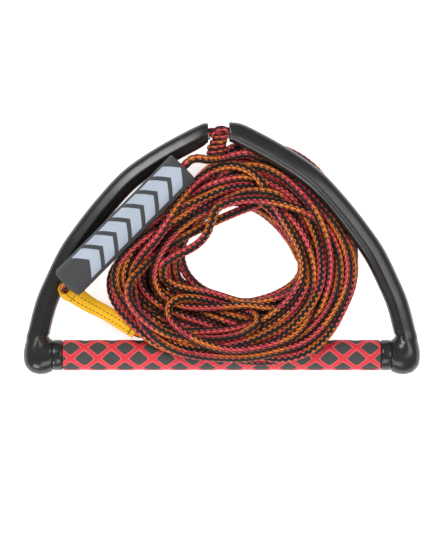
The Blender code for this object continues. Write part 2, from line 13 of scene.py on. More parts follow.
import bmesh
import bpy
import numpy as np
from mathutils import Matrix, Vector

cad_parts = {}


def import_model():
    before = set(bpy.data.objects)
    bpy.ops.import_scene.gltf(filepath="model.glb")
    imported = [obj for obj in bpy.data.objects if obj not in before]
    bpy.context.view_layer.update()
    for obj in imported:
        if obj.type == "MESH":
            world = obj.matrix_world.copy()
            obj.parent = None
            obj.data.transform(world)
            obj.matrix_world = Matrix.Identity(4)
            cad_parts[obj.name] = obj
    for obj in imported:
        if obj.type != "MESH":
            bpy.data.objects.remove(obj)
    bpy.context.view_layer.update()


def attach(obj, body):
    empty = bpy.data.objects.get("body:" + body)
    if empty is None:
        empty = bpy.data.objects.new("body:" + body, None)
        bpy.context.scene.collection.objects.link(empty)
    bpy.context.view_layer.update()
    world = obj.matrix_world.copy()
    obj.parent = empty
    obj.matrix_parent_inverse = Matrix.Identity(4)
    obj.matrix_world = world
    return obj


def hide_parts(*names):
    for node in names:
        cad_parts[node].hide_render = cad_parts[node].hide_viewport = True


LOG = logging.getLogger("tow_rope_handle")

FOOT_OF_BAR = np.array([0.0, -0.1019, 0.0])
BAR_AXIS_Z = 0.0148
PLANE_RISE = math.tan(math.radians(6.6))
TURN = 2 * math.pi
MM = 0.001
ROPE_RADIUS = 0.00425
SHARP_FROM = math.radians(42)
COVER_SEAM = 0.014
COVER_HEM = 0.005

Array = np.ndarray
Route = tuple[tuple[float, float, float], ...]
Colour = tuple[float, float, float]


class Side(Enum):
    """The two ends of the handle."""

    LEFT = -1
    RIGHT = 1

    @property
    def label(self) -> str:
        """The side's name in piece names."""
        return self.name.lower()


# ------------------------------------------------------------------------------
# Lines and meshes
# ------------------------------------------------------------------------------


def smooth_line(points: Sequence[Sequence[float]], spacing: float, closed: bool = False) -> Array:
    """Puts evenly spaced points on the smooth curve through a few given ones.

    Args:
        points: The points that the curve passes through.
        spacing: The distance between the points that come back, in metres.
        closed: Whether the curve goes back to its start.

    Returns:
        The points, one row each. A closed curve's first point isn't repeated.
    """
    given = np.array(points, dtype=float)
    if closed:
        padded = np.vstack([given[-1:], given, given[:2]])
    else:
        padded = np.vstack([2 * given[:1] - given[1:2], given, 2 * given[-1:] - given[-2:-1]])
    steps = np.linspace(0, 1, 16, endpoint=False)[:, None]
    runs = []
    for a, b, c, d in zip(padded, padded[1:], padded[2:], padded[3:]):
        run = 2 * b + (c - a) * steps + (2 * a - 5 * b + 4 * c - d) * steps**2
        runs.append(0.5 * (run + (3 * b - a - 3 * c + d) * steps**3))
    fine = np.vstack(runs + [given[:1] if closed else given[-1:]])
    line = respaced(fine, spacing)
    return line[:-1] if closed else line


def respaced(line: Array, spacing: float) -> Array:
    """Puts the points of a line an even distance apart.

    Args:
        line: The line's points.
        spacing: The wanted distance, in metres.

    Returns:
        The new points.
    """
    along = distance_along(line)
    count = max(2, round(along[-1] / spacing) + 1)
    wanted = np.linspace(0, along[-1], count)
    return np.stack([np.interp(wanted, along, line[:, k]) for k in range(line.shape[1])], axis=1)


def distance_along(line: Array) -> Array:
    """The length of the line up to each of its points."""
    return np.concatenate([[0.0], np.cumsum(np.linalg.norm(np.diff(line, axis=0), axis=1))])


def unit(vectors: Array) -> Array:
    """Each row at length 1."""
    return vectors / np.maximum(np.linalg.norm(vectors, axis=-1, keepdims=True), 1e-12)


def headings(line: Array, closed: bool = False) -> Array:
    """The direction of travel at each point of a line."""
    if closed:
        return unit(np.roll(line, -1, axis=0) - np.roll(line, 1, axis=0))
    return unit(np.gradient(line, axis=0))


def level_frames(line: Array, closed: bool = False) -> tuple[Array, Array]:
    """Gives each point of a line a level sideways direction and the upward one that goes with it.

    Args:
        line: The line's points.
        closed: Whether the line goes back to its start.

    Returns:
        The sideways and the upward directions.
    """
    forward = headings(line, closed)
    side = unit(np.cross(forward, np.array([0.0, 0.0, 1.0])))
    return side, np.cross(side, forward)


def carried_frames(line: Array) -> tuple[Array, Array]:
    """Carries a sideways direction along a line without twist, so that it never flips on a steep stretch.

    Args:
        line: The line's points.

    Returns:
        The sideways and the upward directions.
    """
    forward = headings(line)
    side = np.zeros_like(line)
    start = np.cross(forward[0], [0.0, 0.0, 1.0])
    side[0] = start / max(np.linalg.norm(start), 1e-9)
    for k in range(1, len(line)):
        carried = side[k - 1] - forward[k] * float(side[k - 1] @ forward[k])
        side[k] = carried / max(math.sqrt(float(carried @ carried)), 1e-9)
    return side, np.cross(side, forward)


@dataclass
class RingMesh:
    """A mesh made of rings of points, joined in order.

    Attributes:
        rings: The points, ring by ring.
        closed: Whether the last ring joins the first.
        capped: Whether the two end rings are filled.
        around: The share of a turn of each column, or None.
        along: How far along each ring is, or None.
    """

    rings: Array
    closed: bool = False
    capped: bool = True
    around: Array | None = None
    along: Array | None = None

    def build(self, name: str) -> bpy.types.Mesh:
        """Makes the mesh.

        Args:
            name: The mesh's name.

        Returns:
            The new mesh, at the part's origin.
        """
        count, sides = self.rings.shape[:2]
        spans = count if self.closed else count - 1
        first = np.arange(spans)[:, None]
        column = np.arange(sides)[None, :]
        after = (first + 1) % count
        turn = (column + 1) % sides
        corners = [first * sides + column, first * sides + turn, after * sides + turn, after * sides + column]
        faces = np.stack([np.broadcast_to(c, (spans, sides)) for c in corners], axis=-1).reshape(-1, 4)
        mesh = bpy.data.meshes.new(name)
        points = self.rings.reshape(-1, 3) + FOOT_OF_BAR
        polygons = faces.tolist()
        if self.capped and not self.closed:
            polygons.append(list(range(sides))[::-1])
            polygons.append([(count - 1) * sides + k for k in range(sides)])
        mesh.from_pydata(points.tolist(), [], polygons)
        if self.around is not None and self.along is not None:
            self._map(mesh, spans, sides)
        mesh.update()
        self._face_outwards(mesh)
        mesh.shade_smooth()
        mesh.set_sharp_from_angle(angle=SHARP_FROM)
        return mesh

    @staticmethod
    def _face_outwards(mesh: bpy.types.Mesh) -> None:
        """Turns the faces over where they look into the solid."""
        shell = bmesh.new()
        shell.from_mesh(mesh)
        inside_out = shell.calc_volume(signed=True) < 0
        shell.free()
        if inside_out:
            mesh.flip_normals()

    def _map(self, mesh: bpy.types.Mesh, spans: int, sides: int) -> None:
        """Writes how far round and how far along each corner lies."""
        around = np.append(self.around, 1.0)
        along = np.append(self.along, 2 * self.along[-1] - self.along[-2]) if self.closed else self.along
        column, row = np.meshgrid(np.arange(sides), np.arange(spans))
        us = [around[column], around[column + 1], around[column + 1], around[column]]
        vs = [along[row], along[row], along[row + 1], along[row + 1]]
        pairs = np.stack([np.stack([u, v], axis=-1) for u, v in zip(us, vs)], axis=2).reshape(-1, 2)
        layer = mesh.uv_layers.new(name="strand")
        flat = np.zeros(2 * len(mesh.loops))
        flat[: pairs.size] = pairs.ravel()
        if self.capped and not self.closed:
            flat[pairs.size :: 2] = 0.5
            flat[pairs.size + 1 :: 2] = along[0]
        layer.data.foreach_set("uv", flat)


def ring_points(line: Array, side: Array, up: Array, across: Array, high: Array) -> Array:
    """Places rings round a line.

    Args:
        line: The ring centres.
        side: The sideways direction at each centre.
        up: The upward direction at each centre.
        across: How far sideways each point of each ring is.
        high: How far up each point of each ring is.

    Returns:
        The points, ring by ring.
    """
    return line[:, None, :] + side[:, None, :] * across[..., None] + up[:, None, :] * high[..., None]


def link(mesh: bpy.types.Mesh, body: str, finish: bpy.types.Material) -> bpy.types.Object:
    """Puts a mesh in the scene as a piece of the object.

    Args:
        mesh: The piece's mesh, whose name it takes.
        body: The body that the piece rides on.
        finish: Its material.

    Returns:
        The new piece.
    """
    mesh.materials.append(finish)
    piece = bpy.data.objects.new(mesh.name, mesh)
    bpy.context.scene.collection.objects.link(piece)
    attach(piece, body)
    return piece


def turned(
    start: Array, axis: Array, profile: Sequence[tuple[float, float]], sides: int, first: float = 0.0
) -> RingMesh:
    """Turns a closed outline round an axis.

    Args:
        start: Where the axis starts.
        axis: The axis, at length 1.
        profile: The outline's (distance along the axis, radius) points, outside first, then the bore.
        sides: How many points a ring has.
        first: The bearing of a ring's first point from the top, in radians.

    Returns:
        The rings, which join up at their ends.
    """
    side = unit(np.cross(axis, [0.0, 0.0, 1.0]))
    up = np.cross(side, axis)
    angles = np.arange(sides) * TURN / sides
    outline = np.array(profile)
    centres = start + outline[:, :1] * axis
    spokes = np.cos(angles + first)[:, None] * up + np.sin(angles + first)[:, None] * side
    rings = centres[:, None, :] + outline[:, 1][:, None, None] * spokes[None]
    return RingMesh(rings, closed=True, capped=False, around=angles / TURN, along=outline[:, 0])


# ------------------------------------------------------------------------------
# Shader expressions
# ------------------------------------------------------------------------------


class Paint:
    """The node tree of one finish, with short ways to add nodes to it."""

    def __init__(self, name: str) -> None:
        """Starts a finish with a Principled shader."""
        self.material = bpy.data.materials.new(name)
        self.material.use_nodes = True
        self.tree = self.material.node_tree
        self.shader = self.tree.nodes["Principled BSDF"]

    def node(self, kind: str, settings: dict[str, object] | None = None, **inputs: object) -> bpy.types.Node:
        """Adds a node.

        Args:
            kind: The node's type.
            settings: Its settings, which are set before its sockets.
            inputs: A value or a wire for each named socket, with _ for a space.

        Returns:
            The new node.
        """
        made = self.tree.nodes.new(kind)
        for key, value in (settings or {}).items():
            setattr(made, key, value)
        for key, value in inputs.items():
            self.feed(made.inputs[key.replace("_", " ")], value)
        return made

    def feed(self, socket: bpy.types.NodeSocket, value: object) -> None:
        """Links a wire to a socket, or sets the socket's own value."""
        if isinstance(value, Wire):
            self.tree.links.new(value.socket, socket)
        elif isinstance(value, tuple) and socket.type == "RGBA":
            socket.default_value = (*value, 1.0)
        else:
            socket.default_value = value

    def maths(self, operation: str, *values: object) -> "Wire":
        """Adds a Math node and gives its result."""
        made = self.tree.nodes.new("ShaderNodeMath")
        made.operation = operation
        for socket, value in zip(made.inputs, values):
            self.feed(socket, value)
        return Wire(self, made.outputs[0])

    def blend(self, share: "Wire", first: object, second: object) -> "Wire":
        """Mixes two colours.

        Args:
            share: How much of the second one shows.
            first: A colour, as a tuple or a wire.
            second: A colour, as a tuple or a wire.

        Returns:
            The mixed colour.
        """
        made = self.tree.nodes.new("ShaderNodeMix")
        made.data_type = "RGBA"
        self.feed(made.inputs["Factor"], share)
        self.feed(made.inputs[6], first)
        self.feed(made.inputs[7], second)
        return Wire(self, made.outputs[2])

    def strand_map(self) -> tuple["Wire", "Wire"]:
        """How far round and how far along a swept piece a place is."""
        made = self.node("ShaderNodeUVMap", {"uv_map": "strand"})
        around, along, _ = self.split(Wire(self, made.outputs["UV"]))
        return around, along

    def split(self, vector: "Wire") -> tuple["Wire", "Wire", "Wire"]:
        """The three numbers of a vector."""
        made = self.node("ShaderNodeSeparateXYZ", Vector=vector)
        return Wire(self, made.outputs[0]), Wire(self, made.outputs[1]), Wire(self, made.outputs[2])

    def join(self, x: object, y: object, z: object) -> "Wire":
        """A vector from three numbers."""
        return Wire(self, self.node("ShaderNodeCombineXYZ", X=x, Y=y, Z=z).outputs[0])

    def grain(self, scale: float, detail: float = 3.0, vector: "Wire | None" = None) -> "Wire":
        """Smooth noise from 0 to 1.

        Args:
            scale: How many grains fit in a metre.
            detail: How much fine grain there is.
            vector: The coordinates, or None for the piece's own.

        Returns:
            The noise.
        """
        where = vector or Wire(self, self.node("ShaderNodeTexCoord").outputs["Object"])
        made = self.node("ShaderNodeTexNoise", Vector=where, Scale=scale, Detail=detail)
        return Wire(self, made.outputs["Fac"])

    def bump(self, height: "Wire", depth: float) -> "Wire":
        """Turns a height from 0 to 1 into a bent normal.

        Args:
            height: The height.
            depth: How tall 1 is, in metres.

        Returns:
            The normal.
        """
        made = self.node("ShaderNodeBump", Height=height, Distance=depth, Strength=1.0)
        return Wire(self, made.outputs["Normal"])

    def finish(self, **inputs: object) -> bpy.types.Material:
        """Sets the shader's sockets and gives the material."""
        for key, value in inputs.items():
            self.feed(self.shader.inputs[key.replace("_", " ")], value)
        return self.material


def math_node(operation: str, reflected: bool = False) -> Callable[..., "Wire"]:
    """Makes a method of Wire that adds one Math node.

    Args:
        operation: The node's operation.
        reflected: Whether the other value comes first.

    Returns:
        The method, which takes the other value if the operation has one.
    """

    def method(wire: "Wire", *other: object) -> "Wire":
        """Adds the node and gives its result."""
        return wire.paint.maths(operation, *((*other, wire) if reflected else (wire, *other)))

    return method


class Wire:
    """A number, colour or vector on its way between nodes, with the signs of arithmetic."""

    def __init__(self, paint: Paint, socket: bpy.types.NodeSocket) -> None:
        """Wraps an output socket."""
        self.paint = paint
        self.socket = socket

    __add__ = math_node("ADD")
    __radd__ = math_node("ADD", reflected=True)
    __sub__ = math_node("SUBTRACT")
    __rsub__ = math_node("SUBTRACT", reflected=True)
    __mul__ = math_node("MULTIPLY")
    __rmul__ = math_node("MULTIPLY", reflected=True)
    __truediv__ = math_node("DIVIDE")
    __pow__ = math_node("POWER")
    __abs__ = math_node("ABSOLUTE")
    fract = math_node("FRACT")
    floor = math_node("FLOOR")
    sine = math_node("SINE")
    least = math_node("MINIMUM")
    most = math_node("MAXIMUM")

    def step(self, low: float, high: float) -> "Wire":
        """0 up to low, 1 from high, and smooth between them; the other way round where low is larger."""
        made = self.paint.node("ShaderNodeMapRange", {"interpolation_type": "SMOOTHSTEP"}, Value=self)
        backwards = low > high
        made.inputs["From Min"].default_value = high if backwards else low
        made.inputs["From Max"].default_value = low if backwards else high
        made.inputs["To Min"].default_value = 1.0 if backwards else 0.0
        made.inputs["To Max"].default_value = 0.0 if backwards else 1.0
        return Wire(self.paint, made.outputs["Result"])

    def from_whole(self) -> "Wire":
        """How far the value is from the nearest whole number, 0 to 0.5."""
        return 0.5 - abs(self.fract() - 0.5)


# ------------------------------------------------------------------------------
# Finishes
# ------------------------------------------------------------------------------


@dataclass(frozen=True)
class BraidFinish:
    """The tow rope's braid: plaited bands of coral and orange yarn beside bands of black yarn, with painted
    shade in the grooves and a painted highlight on some stitch crests.
    """

    coral: Colour = (0.90, 0.095, 0.100)
    orange: Colour = (0.92, 0.235, 0.030)
    magenta: Colour = (0.58, 0.025, 0.085)
    black: Colour = (0.016, 0.014, 0.013)
    columns: int = 9
    stitch: float = 0.0058
    colour_run: float = 0.085

    def make(self) -> bpy.types.Material:
        """Makes the material."""
        paint = Paint("braid")
        around, along = paint.strand_map()
        q = around * self.columns
        leaning = (q * 0.5).fract().step(0.49, 0.51)
        within = q.fract()
        slant = within * (1 - 2 * leaning)
        p = along / self.stitch
        phase = p + slant * 0.55
        yarn = phase.from_whole() * 2
        valley = q.from_whole() * 2
        wander = paint.grain(1.0, 2.0, paint.join(along * 12, 0.0, 0.0))
        ripple = (p * TURN).sine() * (0.05 + wander * 0.07)
        bright = (around * 3 + (wander - 0.5) * 0.3 + ripple).from_whole().step(0.205, 0.245)
        dash = q.from_whole().step(0.20, 0.12) * p.fract().step(0.62, 0.54) * p.fract().step(0.02, 0.08)
        fleck = paint.grain(1.0, 1.0, paint.join(q.floor() * 3.7, phase.floor() * 1.31, 0.0))
        run = (along * (TURN / self.colour_run) + wander * 9.0).sine()
        warm = paint.blend(run.step(-0.25, 0.35), self.coral, self.orange)
        warm = paint.blend((fleck.step(0.62, 0.66)) * 0.75, warm, self.magenta)
        # Painted highlight: a paler colour on the crests of some stitches.
        pale = (0.95, 0.36, 0.26)
        warm = paint.blend(yarn.step(0.6, 0.95) * fleck.step(0.46, 0.40) * 0.35, warm, pale)
        cloth = paint.blend(bright * (1 - dash), self.black, warm)
        # Painted shade: the grooves between stitches and columns are coloured near black, dark red under the
        # coloured yarn.
        shade = yarn.step(0.0, 0.34) * valley.step(0.0, 0.22)
        painted_groove_shade = paint.blend(bright * 0.5, (0.004, 0.003, 0.003), (0.16, 0.012, 0.012))
        cloth = paint.blend(shade, painted_groove_shade, cloth)
        fibre = paint.grain(1.0, 2.0, paint.join(around * 300, along * 2200, slant * 30))
        height = shade * 0.8 + fibre * 0.2
        return paint.finish(
            Base_Color=cloth, Roughness=0.58, Normal=paint.bump(height, 0.0007), Specular_IOR_Level=0.35
        )


@dataclass(frozen=True)
class MouldedFinish:
    """Black moulded plastic with a faint orange-peel surface."""

    name: str = "black_moulding"
    colour: Colour = (0.021, 0.021, 0.0205)
    roughness: float = 0.24

    def make(self) -> bpy.types.Material:
        """Makes the material."""
        paint = Paint(self.name)
        coarse = paint.grain(70.0, 3.0)
        fine = paint.grain(1500.0, 3.0)
        dark = tuple(0.75 * c for c in self.colour)
        colour = paint.blend(coarse, dark, self.colour)
        rough = self.roughness + (coarse - 0.5) * 0.14
        normal = paint.bump(coarse * 0.8 + fine * 0.2, 0.0002)
        return paint.finish(Base_Color=colour, Roughness=rough, Normal=normal)


@dataclass(frozen=True)
class GripFinish:
    """Fine charcoal foam under a raised crimson lattice, with a painted highlight along the edges of its
    bands.
    """

    foam: Colour = (0.064, 0.068, 0.064)
    crimson: Colour = (0.80, 0.030, 0.055)
    # Painted highlight: the lighter red along the lattice bands' edges.
    edge: Colour = (1.0, 0.14, 0.13)

    def make(self, lattice: "Lattice") -> bpy.types.Material:
        """Makes the material.

        Args:
            lattice: The lattice that the grip's mesh carries.

        Returns:
            The material.
        """
        paint = Paint("grip_foam")
        around, along = paint.strand_map()
        reach = lattice.nearest_wire(around, along)
        cell = paint.grain(2600.0, 4.0)
        coarse = paint.grain(260.0, 2.0)
        foam = paint.blend(cell, tuple(0.62 * c for c in self.foam), tuple(1.4 * c for c in self.foam))
        # Painted highlight: the bands' edges get the lighter red.
        band_with_edge_highlight = paint.blend(reach.step(0.0011, 0.0021) * 0.75, self.crimson, self.edge)
        band_with_edge_highlight = paint.blend(coarse.step(0.45, 0.75) * 0.3, band_with_edge_highlight, (0.62, 0.012, 0.03))
        on = reach.step(0.00255, 0.0022)
        colour = paint.blend(on, foam, band_with_edge_highlight)
        height = cell * (1 - on * 0.6)
        rough = 0.82 - on * 0.27
        return paint.finish(Base_Color=colour, Roughness=rough, Normal=paint.bump(height, 0.00022))


@dataclass(frozen=True)
class FloatFinish:
    """Charcoal closed-cell foam with a pale blue-grey panel of plain chevrons."""

    foam: Colour = (0.055, 0.056, 0.060)
    ink: Colour = (0.48, 0.55, 0.65)
    panel_start: float = 0.0190
    chevrons: int = 7
    panel_half_turn: float = 0.155
    chevron_pitch: float = 0.0180
    gap: float = 0.0052

    def make(self) -> bpy.types.Material:
        """Makes the material."""
        paint = Paint("float_foam")
        around, along = paint.strand_map()
        across = (around - 0.5) / self.panel_half_turn
        size = abs(across)
        cell = paint.grain(1900.0, 4.0)
        cloud = paint.grain(60.0, 3.0)
        foam = paint.blend(cell, tuple(0.7 * c for c in self.foam), tuple(1.35 * c for c in self.foam))
        lean = (along - self.panel_start + (size - 1) * 0.012) / self.chevron_pitch
        gap = self.gap / self.chevron_pitch
        inside = size.step(1.0, 0.97) * lean.step(0.0, 0.01) * lean.step(self.chevrons + 0.01, self.chevrons)
        ink = inside * lean.from_whole().step(0.5 * gap - 0.008, 0.5 * gap + 0.008)
        print_colour = paint.blend(cloud, tuple(0.82 * c for c in self.ink), tuple(1.1 * c for c in self.ink))
        colour = paint.blend(ink, foam, print_colour)
        rough = 0.78 - ink * 0.22
        return paint.finish(Base_Color=colour, Roughness=rough, Normal=paint.bump(cell, 0.00016))


@dataclass(frozen=True)
class WebbingFinish:
    """Yellow tubular webbing with two long rows of dark stitching, a seam near the throat and a hem; painted
    shade in the weave's gaps, and a painted glow.
    """

    bright: Colour = (1.0, 0.60, 0.010)
    # Painted shade: the darker yellow in the gaps between the weave's ribs.
    deep: Colour = (1.0, 0.46, 0.007)
    thread: Colour = (0.10, 0.045, 0.006)
    ribs_round: int = 46
    rib_pitch: float = 0.00125
    stitch: float = 0.0042
    # Painted glow: the webbing gives off light of its own colour, though it is no lamp.
    glow: float = 0.16

    def make(self, length: float) -> bpy.types.Material:
        """Makes the material.

        Args:
            length: The cover's length in metres.

        Returns:
            The material.
        """
        paint = Paint("yellow_webbing")
        around, along = paint.strand_map()
        shift = (around * self.ribs_round).fract().step(0.45, 0.55) * 0.5
        rib = (along / self.rib_pitch + shift).from_whole() * 2
        warp = (around * self.ribs_round).from_whole() * 2
        weave = rib.step(0.0, 0.6) * warp.step(0.0, 0.5)
        cloud = paint.grain(90.0, 3.0)
        # Painted shade in the weave's gaps.
        base = paint.blend(weave, self.deep, self.bright)
        base = paint.blend(cloud.step(0.5, 0.8) * 0.35, base, (1.0, 0.54, 0.006))
        row = (abs(around - 0.285)).least(abs(around - 0.175)).step(0.0105, 0.0075)
        in_stitch = (along / self.stitch).fract()
        dashes = in_stitch.step(0.25, 0.33) * in_stitch.step(0.98, 0.90)
        cross = abs(along - COVER_SEAM).least(abs(along - (length - COVER_HEM))).step(0.0007, 0.0004)
        stitched = (row * dashes).most(cross)
        colour = paint.blend(stitched, base, self.thread)
        height = weave * 0.7 + (1 - stitched) * 0.3
        # Painted glow: the colour is also given off as light.
        return paint.finish(
            Base_Color=colour,
            Roughness=0.66,
            Emission_Color=colour,
            Emission_Strength=self.glow,
            Normal=paint.bump(height, 0.00035),
        )


@dataclass(frozen=True)
class PlainFinish:
    """A mostly even finish with a grain of its own scale."""

    name: str
    colour: Colour
    roughness: float
    metallic: float = 0.0
    grain: float = 900.0
    depth: float = 0.0001
    transmission: float = 0.0

    def make(self) -> bpy.types.Material:
        """Makes the material."""
        paint = Paint(self.name)
        noise = paint.grain(self.grain, 4.0)
        dark = tuple(0.72 * c for c in self.colour)
        colour = paint.blend(noise, dark, self.colour)
        rough = self.roughness + (noise - 0.5) * 0.15
        normal = paint.bump(noise, self.depth)
        material = paint.finish(Base_Color=colour, Roughness=rough, Metallic=self.metallic, Normal=normal)
        if self.transmission:
            paint.shader.inputs["Transmission Weight"].default_value = self.transmission
        return material


# ------------------------------------------------------------------------------
# The places of the moulded arms and the bar
# ------------------------------------------------------------------------------


def lifted(side: Side, x: float, y: float) -> tuple[float, float, float]:
    """A place in the handle's sloping plane."""
    return (side.value * x, y, BAR_AXIS_Z + y * PLANE_RISE)


@dataclass
class ArmRoute:
    """The middle line of the arms and how their open ends lie."""

    mouths: dict[Side, tuple[float, float]] = field(
        default_factory=lambda: {Side.RIGHT: (0.0070, 0.2132), Side.LEFT: (0.0130, 0.2122)}
    )
    route: tuple[tuple[float, float], ...] = (
        (0.0200, 0.2093), (0.0560, 0.1900), (0.0867, 0.1692), (0.1109, 0.1440), (0.1310, 0.1190),
        (0.1467, 0.0964), (0.1608, 0.0680), (0.1689, 0.0489), (0.1760, 0.0230), (0.1785, 0.0080),
    )
    elbow_end: tuple[float, float] = (0.1780, -0.0020)

    def line(self, side: Side, spacing: float, to_elbow_end: bool = True) -> Array:
        """Runs along an arm from its open end.

        Args:
            side: Which arm.
            spacing: The distance between the points.
            to_elbow_end: Whether the line goes on into the elbow's middle.

        Returns:
            The points.
        """
        places = (self.mouths[side], *self.route, *([self.elbow_end] if to_elbow_end else []))
        return smooth_line([lifted(side, x, y) for x, y in places], spacing)


ARM_ROUTE = ArmRoute()
ARM_RADIUS = 0.0104
GRIP_RADIUS = 0.0146
GRIP_HALF_LENGTH = 0.1524
FLOAT_LOW = np.array([-0.1464, 0.0686, 0.0490])
FLOAT_HIGH = np.array([-0.0360, 0.1786, 0.0600])
FLOAT_RADIUS = 0.0162
FLOAT_AXIS = unit(FLOAT_HIGH - FLOAT_LOW)


# ------------------------------------------------------------------------------
# The tow rope
# ------------------------------------------------------------------------------


@dataclass
class RopeRoutes:
    """The stretches of rope outside the coil, laid out as listed points."""

    lead: Route = (
        (-0.0060, 0.1900, 0.0400), (0.0005, 0.1925, 0.0365), (0.0100, 0.1985, 0.0310),
        (0.0220, 0.2020, 0.0235), (0.0360, 0.2035, 0.0170), (0.0500, 0.2010, 0.0120),
        (0.0655, 0.1965, 0.0080), (0.0795, 0.1887, 0.0055), (0.0926, 0.1777, 0.0048),
        (0.0992, 0.1665, 0.0048), (0.0975, 0.1560, 0.0048), (0.0880, 0.1510, 0.0048),
        (0.0760, 0.1560, 0.0048), (0.0620, 0.1660, 0.0048), (0.0440, 0.1740, 0.0048),
        (0.0250, 0.1790, 0.0048), (0.0080, 0.1790, 0.0048),
    )
    tail_start: Route = (
        (0.0680, 0.1735, 0.0180), (0.0560, 0.1815, 0.0200), (0.0440, 0.1880, 0.0250),
        (0.0330, 0.1915, 0.0320), (0.0235, 0.1925, 0.0370), (0.0160, 0.1920, 0.0375),
        (0.0080, 0.1900, 0.0380), (0.0005, 0.1880, 0.0400), (-0.0075, 0.1862, 0.0475),
        (-0.0150, 0.1856, 0.0555), (-0.0220, 0.1866, 0.0592),
    )
    tail_straight: float = 0.0090
    drop: Route = (
        (-0.1480, 0.0668, 0.0470), (-0.1494, 0.0655, 0.0425), (-0.1490, 0.0645, 0.0382),
    )
    throat: Route = (
        (-0.1496, 0.0644, 0.0420),
        (-0.1474, 0.0630, 0.0370),
    )
    upper: Route = (
        (-0.1448, 0.0622, 0.0335), (-0.1410, 0.0590, 0.0305), (-0.1350, 0.0543, 0.0288),
        (-0.1260, 0.0490, 0.0280), (-0.1166, 0.0440, 0.0280), (-0.1070, 0.0384, 0.0280),
        (-0.0974, 0.0325, 0.0280), (-0.0895, 0.0272, 0.0282), (-0.0825, 0.0225, 0.0284),
    )
    far: Route = (
        (-0.0755, 0.0208, 0.0270), (-0.0680, 0.0220, 0.0230), (-0.0640, 0.0245, 0.0160),
        (-0.0680, 0.0265, 0.0085),
    )
    lower: Route = (
        (-0.0770, 0.0270, 0.0050), (-0.0900, 0.0290, 0.0048), (-0.1060, 0.0375, 0.0048),
        (-0.1220, 0.0465, 0.0055), (-0.1340, 0.0525, 0.0100), (-0.1420, 0.0570, 0.0180),
    )
    splice_start: float = 0.0033
    splice_length: float = 0.0320

    def tail(self) -> list[Sequence[float]]:
        """From the coil to the float, down its bore, round the boat loop and back to the throat."""
        straight = [FLOAT_HIGH + FLOAT_AXIS * self.tail_straight, FLOAT_HIGH, FLOAT_LOW + FLOAT_AXIS * 0.09]
        inside = [FLOAT_LOW + FLOAT_AXIS * 0.04, FLOAT_LOW]
        return [*self.tail_start, *straight, *inside, *self.loop()]

    def loop(self) -> list[Sequence[float]]:
        """From the float's lower end round the boat loop."""
        return [*self.drop, *self.upper, *self.far, *self.lower]


@dataclass
class CoilShape:
    """The outer shape of the coil as seen from above, and how high its rope is piled."""

    centre: tuple[float, float] = (0.0120, 0.0870)
    outline: tuple[tuple[float, float], ...] = (
        (0.1330, 0.1011), (0.1244, 0.1297), (0.1110, 0.1565), (0.0957, 0.1775), (0.0800, 0.1925),
        (0.0508, 0.1985), (0.0269, 0.1978), (0.0060, 0.1930), (-0.0150, 0.1830), (-0.0310, 0.1650),
        (-0.0450, 0.1510), (-0.0610, 0.1345), (-0.0820, 0.1125), (-0.1020, 0.0905), (-0.1125, 0.0690),
        (-0.0985, 0.0400), (-0.0686, 0.0103), (-0.0304, -0.0021), (0.0126, -0.0059), (0.0432, -0.0079),
        (0.0747, -0.0050), (0.1034, 0.0160), (0.1187, 0.0418), (0.1292, 0.0648),
    )
    hole: tuple[tuple[float, float], ...] = (
        (0.0728, 0.0867), (0.0652, 0.1020), (0.0575, 0.1154), (0.0432, 0.1307), (0.0288, 0.1393),
        (0.0107, 0.1441), (-0.0046, 0.1393), (-0.0200, 0.1260), (-0.0371, 0.1011), (-0.0275, 0.0762),
        (-0.0208, 0.0667), (-0.0046, 0.0628), (0.0202, 0.0542), (0.0394, 0.0552), (0.0556, 0.0590),
        (0.0699, 0.0686),
    )
    top: float = 0.0560
    bearings: int = 360

    def reach(self, points: Sequence[tuple[float, float]]) -> Array:
        """How far a closed outline is from the coil's centre, degree by degree.

        Args:
            points: The outline's points.

        Returns:
            A distance for each of the even bearings.
        """
        flat = smooth_line([(x, y, 0.0) for x, y in points], 0.002, closed=True)[:, :2]
        flat = flat - np.array(self.centre)
        bearing = np.arctan2(flat[:, 1], flat[:, 0]) % TURN
        order = np.argsort(bearing)
        wanted = np.arange(self.bearings) * TURN / self.bearings
        return np.interp(wanted, bearing[order], np.linalg.norm(flat, axis=1)[order], period=TURN)


class Solids:
    """How far any place is from the solid pieces that the rope rests against, read from a grid."""

    def __init__(self, low: Sequence[float], high: Sequence[float], cell: float) -> None:
        """Starts a grid with nothing in it.

        Args:
            low: The grid's lowest corner.
            high: Its highest corner.
            cell: The distance between its points.
        """
        self.low = np.array(low)
        self.cell = cell
        axes = [np.arange(a, b + cell, cell) for a, b in zip(low, high)]
        self.places = np.stack(np.meshgrid(*axes, indexing="ij"), axis=-1)
        self.distance = np.full(self.places.shape[:3], 1.0)
        self.table: Array | None = None

    def add_rod(self, line: Array, radius: float) -> None:
        """Adds a round rod along a line.

        Args:
            line: The rod's middle line.
            radius: Its radius.
        """
        for a, b in zip(line, line[1:]):
            span = b - a
            share = np.clip(((self.places - a) @ span) / float(span @ span), 0, 1)
            away = np.linalg.norm(self.places - a - share[..., None] * span, axis=-1) - radius
            self.distance = np.minimum(self.distance, away)

    def close(self) -> None:
        """Works out the directions once every solid is in."""
        slopes = np.stack(np.gradient(self.distance, self.cell), axis=-1)
        self.table = np.concatenate([self.distance[..., None], unit(slopes)], axis=-1)

    def read(self, points: Array) -> tuple[Array, Array]:
        """Reads the grid.

        Args:
            points: The places to look at.

        Returns:
            The distance from the nearest solid at each place, and the way out of it.
        """
        where = (points - self.low) / self.cell
        limit = np.array(self.table.shape[:3]) - 1.001
        where = np.clip(where, 0, limit)
        base = where.astype(int)
        share = where - base
        total = np.zeros((len(points), 4))
        for dx in (0, 1):
            for dy in (0, 1):
                for dz in (0, 1):
                    corner = self.table[base[:, 0] + dx, base[:, 1] + dy, base[:, 2] + dz]
                    across = np.abs(1 - dx - share[:, 0]) * np.abs(1 - dy - share[:, 1])
                    weight = across * np.abs(1 - dz - share[:, 2])
                    total += corner * weight[:, None]
        return total[:, 0], unit(total[:, 1:])


